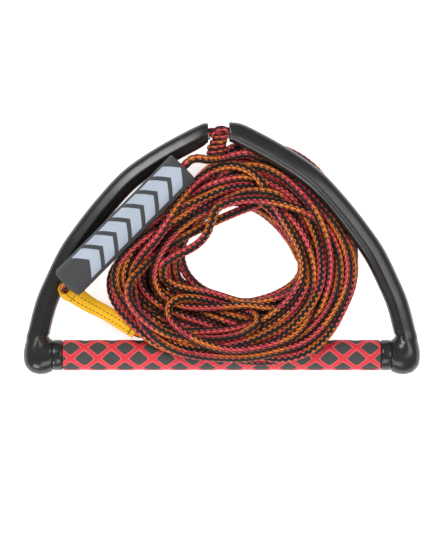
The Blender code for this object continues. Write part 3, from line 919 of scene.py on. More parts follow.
@dataclass
class Settling:
    """Lets a laid-out rope push apart, keep its length and sink until it lies on what is under it.

    Attributes:
        spacing: The distance between the rope's points.
        thickness: How close two stretches may come.
        rounds: How many small steps are made.
        sink: How far it sinks in one step.
        keep: How strongly a point goes back to where it was laid.
        refresh: How many steps one list of neighbours serves.
    """

    spacing: float = 0.0050
    thickness: float = 0.0083
    rounds: int = 700
    sink: float = 0.00010
    keep: float = 0.020
    bends: tuple[tuple[int, float], ...] = ((1, 0.20), (4, 0.05))
    refresh: int = 12
    margin: float = 0.0030
    apart: int = 4

    def run(
        self, line: Array, held: Array, solids: Solids, confine: Callable[[Array, Array], Array]
    ) -> Array:
        """Settles the rope.

        Args:
            line: Its points as laid.
            held: Which of them stay where they are.
            solids: What it rests against.
            confine: Brings points that stray back towards the coil's outline.

        Returns:
            The settled points.
        """
        rest = np.linalg.norm(np.diff(line, axis=0), axis=1)
        points = line.copy()
        free = ~held
        pairs = np.zeros((0, 2), dtype=int)
        for step in range(self.rounds):
            if step % self.refresh == 0:
                pairs = self._neighbours(points)
            ease = max(0.15, 1 - step / (0.8 * self.rounds))
            points[free, 2] -= self.sink * (0.4 + 0.6 * ease)
            points[free, :2] += self.keep * ease * (line[free, :2] - points[free, :2])
            self._stretch(points, rest)
            self._straighten(points)
            self._part(points, pairs)
            away, out = solids.read(points)
            points += np.clip(ROPE_RADIUS - away, 0, 0.002)[:, None] * out
            points = confine(points, line)
            points[:, 2] = np.maximum(points[:, 2], ROPE_RADIUS)
            points[held] = line[held]
        return points

    def _neighbours(self, points: Array) -> Array:
        """The pairs of points that are near each other but not along the rope."""
        found = []
        reach = (self.thickness + self.margin) ** 2
        size = np.einsum("ij,ij->i", points, points)
        block = 512
        for start in range(0, len(points), block):
            part = points[start : start + block]
            square = size[start : start + block, None] + size[None, :] - 2 * part @ points.T
            first, second = np.nonzero(square < reach)
            first = first + start
            keep = second > first + self.apart
            found.append(np.stack([first[keep], second[keep]], axis=1))
        return np.vstack(found)

    def _stretch(self, points: Array, rest: Array) -> None:
        """Brings each span back to its length."""
        for offset in (0, 1):
            a, b = points[offset:-1:2], points[offset + 1 :: 2]
            count = min(len(a), len(b))
            gap = b[:count] - a[:count]
            size = np.linalg.norm(gap, axis=1, keepdims=True)
            pull = gap * (0.5 * (size - rest[offset::2][:count, None]) / np.maximum(size, 1e-9))
            a[:count] += pull
            b[:count] -= pull

    def _straighten(self, points: Array) -> None:
        """Gives the rope its stiffness, over a short and a longer reach."""
        for reach, share in self.bends:
            sway = share * (0.5 * (points[: -2 * reach] + points[2 * reach :]) - points[reach:-reach])
            points[reach:-reach] += sway
            points[: -2 * reach] -= 0.5 * sway
            points[2 * reach :] -= 0.5 * sway

    def _part(self, points: Array, pairs: Array) -> None:
        """Pushes stretches apart that are too close."""
        if not len(pairs):
            return
        gap = points[pairs[:, 1]] - points[pairs[:, 0]]
        size = np.linalg.norm(gap, axis=1)
        near = size < self.thickness
        pairs, gap, size = pairs[near], gap[near], size[near]
        push = gap * (0.5 * (self.thickness - size) / np.maximum(size, 1e-6))[:, None]
        count = len(points)
        touches = np.bincount(pairs.ravel(), minlength=count)
        share = 1.5 / np.maximum(touches, 1.5)
        for axis in range(3):
            moved = np.bincount(pairs[:, 1], weights=push[:, axis], minlength=count)
            moved -= np.bincount(pairs[:, 0], weights=push[:, axis], minlength=count)
            points[:, axis] += moved * share


@dataclass
class CoilPlan:
    """How the rope is wound before it settles.

    A lane is the place across the bundle, 0 beside the hole and 1 at the outside. The lower turns wander from
    lane to lane by themselves. The upper ones, which show, have their lanes given at eight bearings, in the
    order they are laid: the top, the upper left and so on round the coil. Three turns are given point by
    point.
    """

    stray: Route = (
        (0.0380, 0.1518, 0.0470), (0.0219, 0.1490, 0.0470), (0.0077, 0.1462, 0.0460),
        (-0.0027, 0.1425, 0.0440), (-0.0079, 0.1350, 0.0430), (-0.0103, 0.1255, 0.0425),
        (-0.0140, 0.1170, 0.0420), (-0.0216, 0.1075, 0.0410), (-0.0321, 0.1009, 0.0400),
        (-0.0445, 0.0952, 0.0395), (-0.0559, 0.0876, 0.0390), (-0.0630, 0.0781, 0.0385),
        (-0.0630, 0.0686, 0.0390), (-0.0568, 0.0606, 0.0400), (-0.0453, 0.0563, 0.0420),
        (-0.0301, 0.0544, 0.0440), (-0.0112, 0.0535, 0.0460), (0.0096, 0.0507, 0.0470),
        (0.0314, 0.0478, 0.0460), (0.0551, 0.0497, 0.0440),
    )
    arc: Route = (
        (0.0313, 0.1574, 0.0490), (0.0124, 0.1555, 0.0490), (-0.0046, 0.1508, 0.0480),
        (-0.0178, 0.1452, 0.0470), (-0.0282, 0.1400, 0.0470), (-0.0343, 0.1339, 0.0470),
        (-0.0381, 0.1235, 0.0460), (-0.0419, 0.1122, 0.0450), (-0.0481, 0.1018, 0.0440),
        (-0.0576, 0.0923, 0.0430), (-0.0671, 0.0848, 0.0420), (-0.0709, 0.0743, 0.0420),
        (-0.0681, 0.0639, 0.0420), (-0.0586, 0.0563, 0.0430), (-0.0434, 0.0507, 0.0450),
        (-0.0206, 0.0479, 0.0470), (0.0077, 0.0441, 0.0480), (0.0342, 0.0403, 0.0460),
    )
    bight: Route = (
        (-0.0888, 0.0895, 0.0440), (-0.0945, 0.0724, 0.0440), (-0.0888, 0.0535, 0.0450),
        (-0.0755, 0.0365, 0.0460), (-0.0585, 0.0214, 0.0460), (-0.0377, 0.0119, 0.0460),
        (-0.0150, 0.0081, 0.0460), (0.0077, 0.0100, 0.0460), (0.0267, 0.0147, 0.0450),
        (0.0399, 0.0232, 0.0440), (0.0409, 0.0345, 0.0440), (0.0305, 0.0431, 0.0450),
        (0.0134, 0.0469, 0.0460), (-0.0055, 0.0498, 0.0470), (-0.0225, 0.0535, 0.0480),
        (-0.0376, 0.0564, 0.0480), (-0.0499, 0.0554, 0.0480), (-0.0584, 0.0507, 0.0480),
        (-0.0612, 0.0422, 0.0480), (-0.0584, 0.0328, 0.0480), (-0.0508, 0.0243, 0.0480),
        (-0.0386, 0.0177, 0.0480), (-0.0225, 0.0110, 0.0480), (-0.0036, 0.0063, 0.0475),
        (0.0172, 0.0044, 0.0470), (0.0380, 0.0081, 0.0460), (0.0598, 0.0175, 0.0450),
    )

    shape: CoilShape = field(default_factory=CoilShape)
    lower_turns: int = 15
    first_bearing: float = math.radians(100)
    points_per_turn: int = 96
    lanes_per_layer: float = 6.0
    middle: tuple[tuple[float, ...], ...] = (
        (0.20, 0.12, 0.10, 0.15, 0.22, 0.55, 0.66, 0.55), (0.45, 0.30, 0.16, 0.25, 0.42, 0.84, 0.84, 0.70),
        (0.66, 0.52, 0.70, 0.48, 0.66, 0.93, 0.95, 0.88), (0.84, 0.72, 0.82, 0.62, 0.90, 0.99, 0.99, 0.96),
        (0.74, 0.80, 0.92, 0.80, 0.78, 0.76, 0.74, 0.82),
    )
    upper: tuple[tuple[float, ...], ...] = (
        (0.97, 0.97, 0.90, 0.95, 0.86, 0.60, 0.55, 0.80), (0.82, 0.66, 0.99, 0.99, 0.92, 0.54, 0.42, 0.66),
        (0.62, 0.84, 0.80, 0.90, 0.84, 0.44, 0.28, 0.50), (0.44, 0.95, 0.88, 0.86, 0.78, 0.34, 0.16, 0.32),
        (0.28, 0.74, 0.97, 0.82, 0.70, 0.22, 0.05, 0.14), (0.90, 0.88, 0.74, 0.90, 0.99, 0.90, 0.90, 0.92),
    )
    inset: float = 0.0046
    packing: float = 0.00255
    under_arm: float = 0.019
    over_grip: float = 0.031
    wall: float = 0.35
    ceiling: float = 0.0640

    def __post_init__(self) -> None:
        """Works out the two edges of the coil once."""
        self.hole_reach = self.shape.reach(self.shape.hole)
        self.outline_reach = self.shape.reach(self.shape.outline)

    def lay(self, spacing: float) -> Array:
        """Winds the coil.

        Args:
            spacing: The distance between its points.

        Returns:
            Its points, from the lowest turn to the highest.
        """
        lower = self._place(*self._lower_lane(), 0.0, 0.56)
        middle = self._place(*self._given_lane(self.middle), 0.56, 0.74)
        upper = self._place(*self._given_lane(self.upper), 0.78, 1.0)
        hand_laid = [np.array(route) for route in (self.stray, self.arc, self.bight)]
        stretches = [lower[:-4], middle[4:-4]]
        for route in hand_laid:
            stretches.append(route)
            stretches.append(self._link_turn(route[-1], hand_laid, len(stretches)))
        stretches.append(upper[4:])
        kept = [part for part in stretches if len(part)]
        return smooth_line(np.vstack([self._thinned(part) for part in kept]), spacing)

    def _thinned(self, part: Array) -> Array:
        """A long stretch with fewer points, so that the joins between stretches are smooth."""
        return respaced(part, 0.018) if len(part) > 60 else part

    def _link_turn(self, start: Array, routes: Sequence[Array], order: int) -> Array:
        """Carries a listed turn on round the right side to the top, outside or inside the others.

        Args:
            start: Where the listed turn ended.
            routes: All the listed turns. Not used.
            order: Which turn this is.

        Returns:
            The points of the stretch, which don't repeat its start.
        """
        centre = np.array(self.shape.centre)
        begin = math.atan2(*(start[:2] - centre)[::-1]) + math.radians(14)
        end = math.radians(52)
        bearing = np.linspace(begin, end, 7)
        size = float(np.linalg.norm(start[:2] - centre))
        hole = self._at(self.hole_reach, bearing[:1] % TURN)[0]
        outline = self._at(self.outline_reach, bearing[:1] % TURN)[0]
        lane = np.linspace((size - hole) / (outline - hole), (0.3, 0.55, 0.8)[order // 2 % 3], 7)
        return self._place(bearing, lane, 0.72, 0.76)

    def _place(self, bearing: Array, lane: Array, low_rank: float, high_rank: float) -> Array:
        """Turns bearings and lanes into places.

        Args:
            bearing: How far round each point is.
            lane: How far across the bundle it is.
            low_rank: How far up the pile the first point is, from 0 to 1.
            high_rank: The same for the last point.

        Returns:
            The points.
        """
        rank = np.linspace(low_rank, high_rank, len(bearing))
        bearing = bearing % TURN
        hole = self._at(self.hole_reach, bearing) + self.inset
        outline = self._at(self.outline_reach, bearing) - self.inset
        crowd = 0.5 + 0.5 * np.cos(bearing - math.radians(195))
        lane = np.sign(lane) * np.abs(lane) ** (1 - 0.42 * crowd * (1 - high_rank * 0.6))
        height = np.minimum(self.packing / np.maximum(outline - hole, 0.03), self.shape.top)
        level = ROPE_RADIUS + rank**0.92 * (height - 2 * ROPE_RADIUS)
        outline = self._clear_of_arm(outline, bearing, level)
        outline = self._clear_of_grip(outline, bearing, level)
        reach = hole + lane * (outline - hole)
        x = self.shape.centre[0] + reach * np.cos(bearing)
        y = self.shape.centre[1] + reach * np.sin(bearing)
        over = np.clip((0.030 - y) / 0.014, 0, 1)
        over = over * over * (3 - 2 * over) * (level > self.over_grip * 0.62)
        level = np.maximum(level, over * (0.0345 + 0.016 * (rank - 0.6)))
        return np.stack([x, y, level], axis=1)

    def confine(self, points: Array, laid: Array) -> Array:
        """Brings points that have left the coil's outline or the edge of its hole back towards it.

        Args:
            points: The rope's points.
            laid: Where they were laid, which is always allowed.

        Returns:
            The points, moved.
        """
        flat = points[:, :2] - np.array(self.shape.centre)
        size = np.linalg.norm(flat, axis=1)
        bearing = np.arctan2(flat[:, 1], flat[:, 0]) % TURN
        laid_size = np.linalg.norm(laid[:, :2] - np.array(self.shape.centre), axis=1)
        low = np.minimum(self._at(self.hole_reach, bearing) + self.inset, laid_size)
        high = np.maximum(self._at(self.outline_reach, bearing) - self.inset, laid_size)
        wanted = size + self.wall * (np.clip(size, low, high) - size)
        moved = points.copy()
        moved[:, :2] = np.array(self.shape.centre) + flat * (wanted / np.maximum(size, 1e-6))[:, None]
        moved[:, 2] = np.minimum(points[:, 2], self.ceiling)
        return moved

    def _at(self, table: Array, bearing: Array) -> Array:
        """Reads a table that goes round the coil."""
        steps = np.arange(len(table)) * TURN / len(table)
        return np.interp(bearing, steps, table, period=TURN)

    def _lower_lane(self) -> tuple[Array, Array]:
        """The bearings and lanes of the turns that wander by themselves."""
        turn = np.arange(self.lower_turns * self.points_per_turn) / self.points_per_turn
        swing = np.abs(((turn / self.lanes_per_layer) % 2) - 1)
        wander = 0.10 * np.sin(TURN * 1.37 * turn + 1.0) + 0.08 * np.sin(TURN * 2.41 * turn + 0.3)
        wander += 0.05 * np.sin(TURN * 4.19 * turn + 2.0)
        return self.first_bearing + TURN * turn, np.clip(swing + wander, 0.0, 1.0)

    def _given_lane(self, rows: Sequence[Sequence[float]]) -> tuple[Array, Array]:
        """The bearings and lanes of turns that are read smoothly from a table."""
        flat = [lane for row in rows for lane in row]
        line = smooth_line([(k / 8, lane, 0.0) for k, lane in enumerate(flat)], 0.01)
        return math.radians(90) + TURN * line[:, 0], line[:, 1]

    def _clear_of_arm(self, outline: Array, bearing: Array, level: Array) -> Array:
        """Keeps the higher turns on the inner side of the right arm."""
        arm = ARM_ROUTE.line(Side.RIGHT, 0.002)
        flat = arm[:, :2] - np.array(self.shape.centre)
        angle = np.arctan2(flat[:, 1], flat[:, 0])
        order = np.argsort(angle)
        centred = np.where(bearing > math.pi, bearing - TURN, bearing)
        middle = np.interp(centred, angle[order], np.linalg.norm(flat, axis=1)[order])
        inner = middle - ARM_RADIUS - self.inset
        under = level < self.under_arm - ROPE_RADIUS
        beside = (centred > math.radians(-20)) & (centred < math.radians(105))
        return np.where(beside & ~under, np.minimum(outline, inner), outline)

    def _clear_of_grip(self, outline: Array, bearing: Array, level: Array) -> Array:
        """Keeps the lower turns on the inner side of the grip."""
        drop = self.shape.centre[1] - GRIP_RADIUS - self.inset
        down = -np.sin(bearing)
        inner = np.where(down > 0.2, drop / np.maximum(down, 0.2), 1.0)
        return np.where(level < self.over_grip * 0.62, np.minimum(outline, inner), outline)


@dataclass
class TowRope:
    """The whole tow rope: lead, coil, tail and boat loop, one braid from end to end."""

    routes: RopeRoutes = field(default_factory=RopeRoutes)
    plan: CoilPlan = field(default_factory=CoilPlan)
    settling: Settling = field(default_factory=Settling)
    finish: BraidFinish = field(default_factory=BraidFinish)
    length: float = 15.2
    sides: int = 12
    ring_step: float = 0.0020
    splice_radius: float = 0.0058
    loose_tail: int = 6
    stray_hold: float = 0.0018
    plait_depth: float = 0.00028
    cover_radius: float = 0.0064

    def build(self) -> bpy.types.Object:
        """Makes the rope.

        Returns:
            The rope's piece.
        """
        line, held = self._laid()
        settled = line
        settled = self.settling.run(line, held, self._solids(), self.plan.confine)
        for _ in range(3):
            settled[1:-1] = np.where(
                held[1:-1, None], settled[1:-1], 0.25 * (settled[:-2] + 2 * settled[1:-1] + settled[2:])
            )
        self.line = settled
        LOG.info("tow rope: %.2f m", distance_along(settled)[-1])
        return self._dress(settled)

    def _laid(self) -> tuple[Array, Array]:
        """Joins the stretches into one line, and says which points stay where they are."""
        lead = smooth_line(self.routes.lead, self.settling.spacing)
        coil = self.plan.lay(self.settling.spacing)
        tail = smooth_line(self.routes.tail(), self.settling.spacing)
        loose = smooth_line(respaced(np.vstack([lead, coil[6:], tail[:4]]), 0.012), self.settling.spacing)
        line = np.vstack([loose, tail[4:]])
        held = np.zeros(len(line), dtype=bool)
        held[: int(0.8 * len(lead))] = True
        held[len(loose) + self.loose_tail :] = True
        bridge = smooth_line(self.plan.stray[3:11], 0.002)
        reach = np.linalg.norm(line[:, None, :] - bridge[None, :, :], axis=2).min(axis=1)
        held |= reach < self.stray_hold
        return line, held

    def _solids(self) -> Solids:
        """Everything that the rope lies on or against."""
        solids = Solids((-0.170, -0.030, -0.003), (0.150, 0.225, 0.090), 0.003)
        for side in Side:
            solids.add_rod(ARM_ROUTE.line(side, 0.012), ARM_RADIUS)
        bar = [[-0.16, 0, BAR_AXIS_Z], [0.16, 0, BAR_AXIS_Z]]
        solids.add_rod(np.array(bar), GRIP_RADIUS + 0.0004)
        solids.add_rod(np.array([FLOAT_LOW, FLOAT_HIGH]), FLOAT_RADIUS)
        solids.add_rod(smooth_line(self.routes.upper, 0.008), self.cover_radius)
        solids.add_rod(smooth_line(self.routes.far + self.routes.lower, 0.008), ROPE_RADIUS)
        solids.close()
        return solids

    def _dress(self, line: Array) -> bpy.types.Object:
        fine = respaced(line, self.ring_step)
        side, up = carried_frames(fine)
        along = distance_along(fine)
        angles = np.arange(self.sides) * TURN / self.sides
        roll = 1.3 * np.sin(along * 3.1) + 1.1 * np.sin(along * 7.7 + 1.0) + along * 1.7
        turn = angles[None, :] + roll[:, None]
        plait = np.cos(TURN * along / self.finish.stitch)[:, None] * np.cos(2 * angles)[None, :]
        radius = ROPE_RADIUS - 0.0001 + self.plait_depth * plait
        inside = self._in_splice(fine)
        radius = radius + (self.splice_radius - ROPE_RADIUS) * inside[:, None]
        rings = ring_points(fine, side, up, radius * np.cos(turn), radius * np.sin(turn))
        rings[..., 2] = np.maximum(rings[..., 2], 0.0)
        mesh = RingMesh(rings, around=angles / TURN, along=along).build("tow_rope")
        rope = link(mesh, "handle", self.finish.make())
        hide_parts("rope_lead", "rope_coil", "rope_stray", "rope_tail", "eye_splice", "boat_loop")
        return rope

    def _in_splice(self, line: Array) -> Array:
        """How much of the splice's thickness each point has."""
        past = (line - FLOAT_LOW) @ FLOAT_AXIS
        off = np.linalg.norm(line - FLOAT_LOW - past[:, None] * FLOAT_AXIS, axis=1)
        start, end = self.routes.splice_start, self.routes.splice_length
        ramp = np.clip((past - start) / 0.003, 0, 1) * np.clip((end - past) / 0.010, 0, 1)
        return np.where(off < 0.002, ramp, 0.0)


# ------------------------------------------------------------------------------
# The handle
# ------------------------------------------------------------------------------


BRIDLE_BEND_CENTRE = (0.1572, 0.0200)
BRIDLE_BEND_RADIUS = 0.0200


def bend_line(side: Side, degrees: Sequence[float]) -> list[tuple[float, float, float]]:
    """Points on the bend that the bridle makes in an elbow.

    Args:
        side: Which elbow.
        degrees: The bearings round the bend's centre, 0 towards the outside and -90 towards the bar.

    Returns:
        The points, from the arm towards the bar.
    """
    places = []
    for degree in degrees:
        angle = math.radians(degree)
        x = BRIDLE_BEND_CENTRE[0] + BRIDLE_BEND_RADIUS * math.cos(angle)
        y = BRIDLE_BEND_CENTRE[1] + BRIDLE_BEND_RADIUS * math.sin(angle)
        places.append(lifted(side, x, y))
    return places


@dataclass
class MouldedArm:
    """One arm with its elbow: a hollow skin, open at the apex and round the bar's end."""

    side: Side
    finish: bpy.types.Material
    section: tuple[tuple[float, float], ...] = (
        (10.4, 0.0), (10.2, 2.0), (9.6, 3.9), (8.7, 5.6), (7.4, 7.0), (5.8, 8.0), (4.0, 8.8), (2.0, 9.5),
        (0.0, 10.1), (-1.6, 10.5), (-2.6, 10.5), (-3.3, 10.0), (-3.7, 9.1), (-4.6, 8.5), (-6.0, 7.8),
        (-7.4, 6.9), (-8.6, 5.6), (-9.5, 4.0), (-10.1, 2.1), (-10.4, 0.0), (-10.1, -2.5), (-9.2, -4.8),
        (-7.7, -7.0), (-5.6, -8.8), (-3.0, -10.0), (0.0, -10.4), (3.0, -10.0), (5.6, -8.8), (7.7, -7.0),
        (9.2, -4.8), (10.1, -2.5),
    )
    columns: int = 64
    step: float = 0.0035
    lip: tuple[tuple[float, float], ...] = (
        (0.0, 0.84), (0.0004, 0.885), (0.0014, 0.91), (0.006, 0.96), (0.014, 1.0),
    )
    square_cut: float = 0.022
    fan_start: float = 0.0200
    pivot: tuple[float, float] = (0.1634, 0.0190)
    fan: tuple[tuple[float, float, float, float], ...] = (
        (0, 3.8, 24.6, 10.4), (-12, 3.7, 25.6, 11.3), (-24, 3.6, 29.4, 12.4), (-36, 3.6, 34.2, 13.6),
        (-48, 3.7, 39.2, 14.6), (-60, 3.9, 41.0, 15.3), (-72, 4.1, 39.7, 15.5), (-82, 4.2, 37.2, 15.2),
        (-90, 4.3, 34.6, 14.9),
    )
    fan_rings: int = 26
    ridge_end: float = -42.0
    bore: float = 0.0085
    channel: float = 0.0064
    socket: float = 0.0110
    socket_depth: float = 0.0050
    chamber_end: float = 0.0560
    chamber_taper: float = 0.008

    def build(self) -> bpy.types.Object:
        """Makes the arm.

        Returns:
            The arm's piece.
        """
        outside = self._arm_rings() + self._fan_rings()
        rings = np.array(outside + self._bore_rings())
        rings[..., 2] = np.maximum(rings[..., 2], 0.0)
        count, sides = rings.shape[:2]
        around, along = np.arange(sides) / sides, np.arange(count) * self.step
        shape = RingMesh(rings, closed=True, around=around, along=along)
        arm = link(shape.build(f"moulded_arm_{self.side.label}"), "handle", self.finish)
        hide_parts(f"arm_skin_{self.side.label}")
        return arm

    def _outward(self, forward: Array) -> Array:
        """The level direction away from the inside of the handle."""
        return -self.side.value * unit(np.cross(forward, [0.0, 0.0, 1.0]))

    def _ridged(self) -> Array:
        """The arm's section with its lengthwise ridge, as (outward, up) pairs."""
        flat = smooth_line([(u * MM, v * MM, 0.0) for u, v in self.section], 0.0002, closed=True)
        angle = np.arctan2(flat[:, 1], flat[:, 0]) % TURN
        order = np.argsort(angle)
        wanted = np.arange(self.columns) * TURN / self.columns
        ridge = math.radians(104)
        wanted = wanted + 0.16 * np.sin(wanted - ridge + math.pi) * np.exp(-(((wanted - ridge) / 0.6) ** 2))
        size = np.interp(wanted, angle[order], np.linalg.norm(flat, axis=1)[order], period=TURN)
        return np.stack([size * np.cos(wanted), size * np.sin(wanted)], axis=1)

    def _round(self) -> Array:
        """A plain round section of the arm's size."""
        angle = np.arange(self.columns) * TURN / self.columns
        return ARM_RADIUS * np.stack([np.cos(angle), np.sin(angle)], axis=1)

    def _ring(self, centre: Array, outward: Array, up: Array, section: Array) -> Array:
        """Places a section at a centre."""
        return centre + section[:, :1] * outward + section[:, 1:] * up

    def _arm_rings(self) -> list[Array]:
        """The rings from the open end to the elbow."""
        line = ARM_ROUTE.line(self.side, 0.0004)
        line = line[line[:, 1] > self.fan_start + 0.001]
        along = distance_along(line)
        places = sorted({0.0, 0.0004, 0.0014, 0.003, *np.arange(0.006, along[-1], self.step)})
        forward = headings(line)
        section = self._ridged()
        rings = []
        for place in places:
            k = int(np.searchsorted(along, place))
            outward = self._outward(forward[k])
            up = np.cross(forward[k], outward) * self.side.value
            size = np.interp(place, *zip(*self.lip))
            ring = self._ring(line[k], outward, up, section * size)
            cut = max(0.0, 1 - place / self.square_cut)
            shift = (line[k][0] - ring[:, 0]) / forward[k][0]
            rings.append(ring + cut * shift[:, None] * forward[k])
        return rings

    def _fan_rings(self) -> list[Array]:
        """The rings round the elbow, which open out from its inner corner."""
        degrees, inner, outer, high = (np.array(column) for column in zip(*self.fan))
        rings = []
        for degree in np.linspace(degrees[0], degrees[-1], self.fan_rings):
            near = np.interp(-degree, -degrees, inner) * MM
            far = np.interp(-degree, -degrees, outer) * MM
            tall = np.interp(-degree, -degrees, high) * MM
            angle = math.radians(degree)
            spoke = np.array([self.side.value * math.cos(angle), math.sin(angle), 0.0])
            reach = (near + far) / 2
            x = self.pivot[0] + reach * math.cos(angle)
            y = self.pivot[1] + reach * math.sin(angle)
            share = min(1.0, degree / self.ridge_end)
            share = share * share * (3 - 2 * share)
            section = (1 - share) * self._ridged() + share * self._round()
            section = section * np.array([(far - near) / 2, tall]) / ARM_RADIUS
            centre = np.array(lifted(self.side, x, y))
            rings.append(self._ring(centre, spoke, np.array([0.0, 0.0, 1.0]), section))
        return rings

    def _bore_rings(self) -> list[Array]:
        """The inner surface, from the bar's socket back to the open end."""
        circle = self._round() / ARM_RADIUS
        up = np.array([0.0, 0.0, 1.0])
        down_bar = np.array([0.0, -1.0, 0.0])
        face = self.pivot[0]
        rings = []
        for x, y, size in (
            (face, 0.0, self.socket),
            (face + self.socket_depth, 0.0, self.socket),
            (face + self.socket_depth, 0.0034, self.channel),
        ):
            centre = np.array([self.side.value * x, y, BAR_AXIS_Z])
            rings.append(self._ring(centre, down_bar, up, circle * size))
        for degree in (-42, -28, -14, 0):
            angle = math.radians(degree)
            spoke = np.array([self.side.value * math.cos(angle), math.sin(angle), 0.0])
            centre = np.array(bend_line(self.side, [degree])[0])
            rings.append(self._ring(centre, spoke, up, circle * self.channel))
        line = ARM_ROUTE.line(self.side, 0.006)
        forward = headings(line)
        for k in range(len(line) - 1, -1, -1):
            if line[k][1] < 0.030:
                continue
            widening = [self.chamber_end - self.chamber_taper, self.chamber_end]
            size = np.interp(line[k][1], widening, [self.channel, self.bore])
            size = min(size, self.bore - 0.0007) if k == 0 else size
            outward = self._outward(forward[k])
            over = np.cross(forward[k], outward) * self.side.value
            ring = self._ring(line[k], outward, over, circle * size)
            cut = max(0.0, 1 - distance_along(line)[k] / self.square_cut)
            shift = (line[k][0] - ring[:, 0]) / forward[k][0]
            rings.append(ring + cut * shift[:, None] * forward[k])
        return rings


@dataclass(frozen=True)
class Lattice:
    """The raised diamond lattice on the grip: two families of wires that wind round it in opposite ways."""

    pitch: float = 0.02605
    start: float = -0.1446
    turn_share: float = 0.25
    row_offset: float = 0.122
    rounding: float = 3.0
    straight_gap: float = 0.0174
    half_width: float = 0.0024
    rise: float = 0.00055

    def heights(self, along: Array, around: Array) -> Array:
        """How far the lattice stands out.

        Args:
            along: The place along the handle, in metres.
            around: The share of a turn from the top.

        Returns:
            The extra radius.
        """
        step = (along - self.start) / self.pitch
        turn = around / self.turn_share - self.row_offset
        near = [np.maximum(self._from_whole(x), 0.005) ** -self.rounding for x in (step - turn, step + turn)]
        reach = sum(near) ** (-1 / self.rounding) * self.straight_gap
        share = np.clip((self.half_width - reach) / (0.45 * self.half_width), 0, 1)
        return self.rise * share * share * (3 - 2 * share)

    def nearest_wire(self, around: Wire, along: Wire) -> Wire:
        """The distance to the nearest wire's middle, for a finish."""
        step = (along - self.start) / self.pitch
        turn = around / self.turn_share - self.row_offset
        near = [x.from_whole().most(0.005) ** -self.rounding for x in (step - turn, step + turn)]
        return (near[0] + near[1]) ** (-1 / self.rounding) * self.straight_gap

    @staticmethod
    def _from_whole(value: Array) -> Array:
        """How far values are from the nearest whole number."""
        return np.abs(value - np.round(value))


@dataclass
class Grip:
    """The foam sleeve with its lattice."""

    lattice: Lattice = field(default_factory=Lattice)
    finish: GripFinish = field(default_factory=GripFinish)
    radius: float = 0.0142
    bore: float = 0.0108
    sides: int = 96
    step: float = 0.0008
    edge: float = 0.0008

    def build(self) -> bpy.types.Object:
        """Makes the grip.

        Returns:
            The grip's piece.
        """
        along = np.linspace(-GRIP_HALF_LENGTH, GRIP_HALF_LENGTH, round(2 * GRIP_HALF_LENGTH / self.step) + 1)
        around = np.arange(self.sides) / self.sides
        size = self.radius + self.lattice.heights(along[:, None], around[None, :])
        size[[0, -1]] -= self.edge
        bore = np.full((2, self.sides), self.bore)
        size = np.vstack([size, bore])
        along = np.concatenate([along, [GRIP_HALF_LENGTH, -GRIP_HALF_LENGTH]])
        angle = around * TURN
        rings = np.stack(
            [
                np.broadcast_to(along[:, None], size.shape),
                -size * np.sin(angle),
                BAR_AXIS_Z + size * np.cos(angle),
            ],
            axis=-1,
        )
        mesh = RingMesh(rings, closed=True, around=around, along=along).build("latticed_grip")
        grip = link(mesh, "handle", self.finish.make(self.lattice))
        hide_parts("grip_sleeve")
        return grip


@dataclass
class Cuff:
    """The glossy ring between the grip and an elbow."""

    side: Side
    finish: bpy.types.Material
    profile: tuple[tuple[float, float], ...] = (
        (0.0000, 0.0126), (0.0003, 0.0138), (0.0011, 0.0145), (0.0024, 0.0147), (0.0080, 0.0147),
        (0.0093, 0.0145), (0.0101, 0.0138), (0.0104, 0.0126), (0.0104, 0.0108), (0.0000, 0.0108),
    )

    def build(self) -> bpy.types.Object:
        """Makes the cuff.

        Returns:
            The cuff's piece.
        """
        start = np.array([self.side.value * (GRIP_HALF_LENGTH + 0.0003), 0.0, BAR_AXIS_Z])
        shape = turned(start, np.array([float(self.side.value), 0.0, 0.0]), self.profile, 64)
        cuff = link(shape.build(f"glossy_cuff_{self.side.label}"), "handle", self.finish)
        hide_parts(f"cuff_{self.side.label}")
        return cuff


@dataclass
class Bridle:
    """The endless rope through the bar and the arms."""

    finish: bpy.types.Material
    crest: tuple[tuple[float, float], ...] = ((-0.0075, 0.2128), (-0.0030, 0.2132), (0.0020, 0.2134))
    crest_lift: float = 0.0008
    sides: int = 16
    step: float = 0.0025

    def build(self) -> bpy.types.Object:
        """Makes the bridle.

        Returns:
            The bridle's piece.
        """
        points = [np.array(lifted(Side.RIGHT, x, y)) + [0, 0, self.crest_lift] for x, y in self.crest]
        points += [*self._down(Side.RIGHT), *[(x, 0.0, BAR_AXIS_Z) for x in np.linspace(0.126, -0.126, 7)]]
        points += self._down(Side.LEFT)[::-1]
        line = smooth_line(points, self.step, closed=True)
        side, up = level_frames(line, closed=True)
        angle = np.arange(self.sides) * TURN / self.sides
        along = distance_along(line)
        plait = 0.00022 * np.cos(TURN * along / 0.0058)[:, None] * np.cos(2 * angle)[None, :]
        size = ROPE_RADIUS - 0.0001 + plait
        rings = ring_points(line, side, up, size * np.cos(angle), size * np.sin(angle))
        mesh = RingMesh(rings, closed=True, around=angle / TURN, along=along).build("bridle")
        bridle = link(mesh, "handle", self.finish)
        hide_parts("bridle_rope")
        return bridle

    def _down(self, side: Side) -> list[Sequence[float]]:
        """From an arm's open end to the bar."""
        arm = [tuple(place) for place in ARM_ROUTE.line(side, 0.018) if place[1] > 0.030]
        return [*arm, *bend_line(side, (0, -22.5, -45, -67.5, -90))]


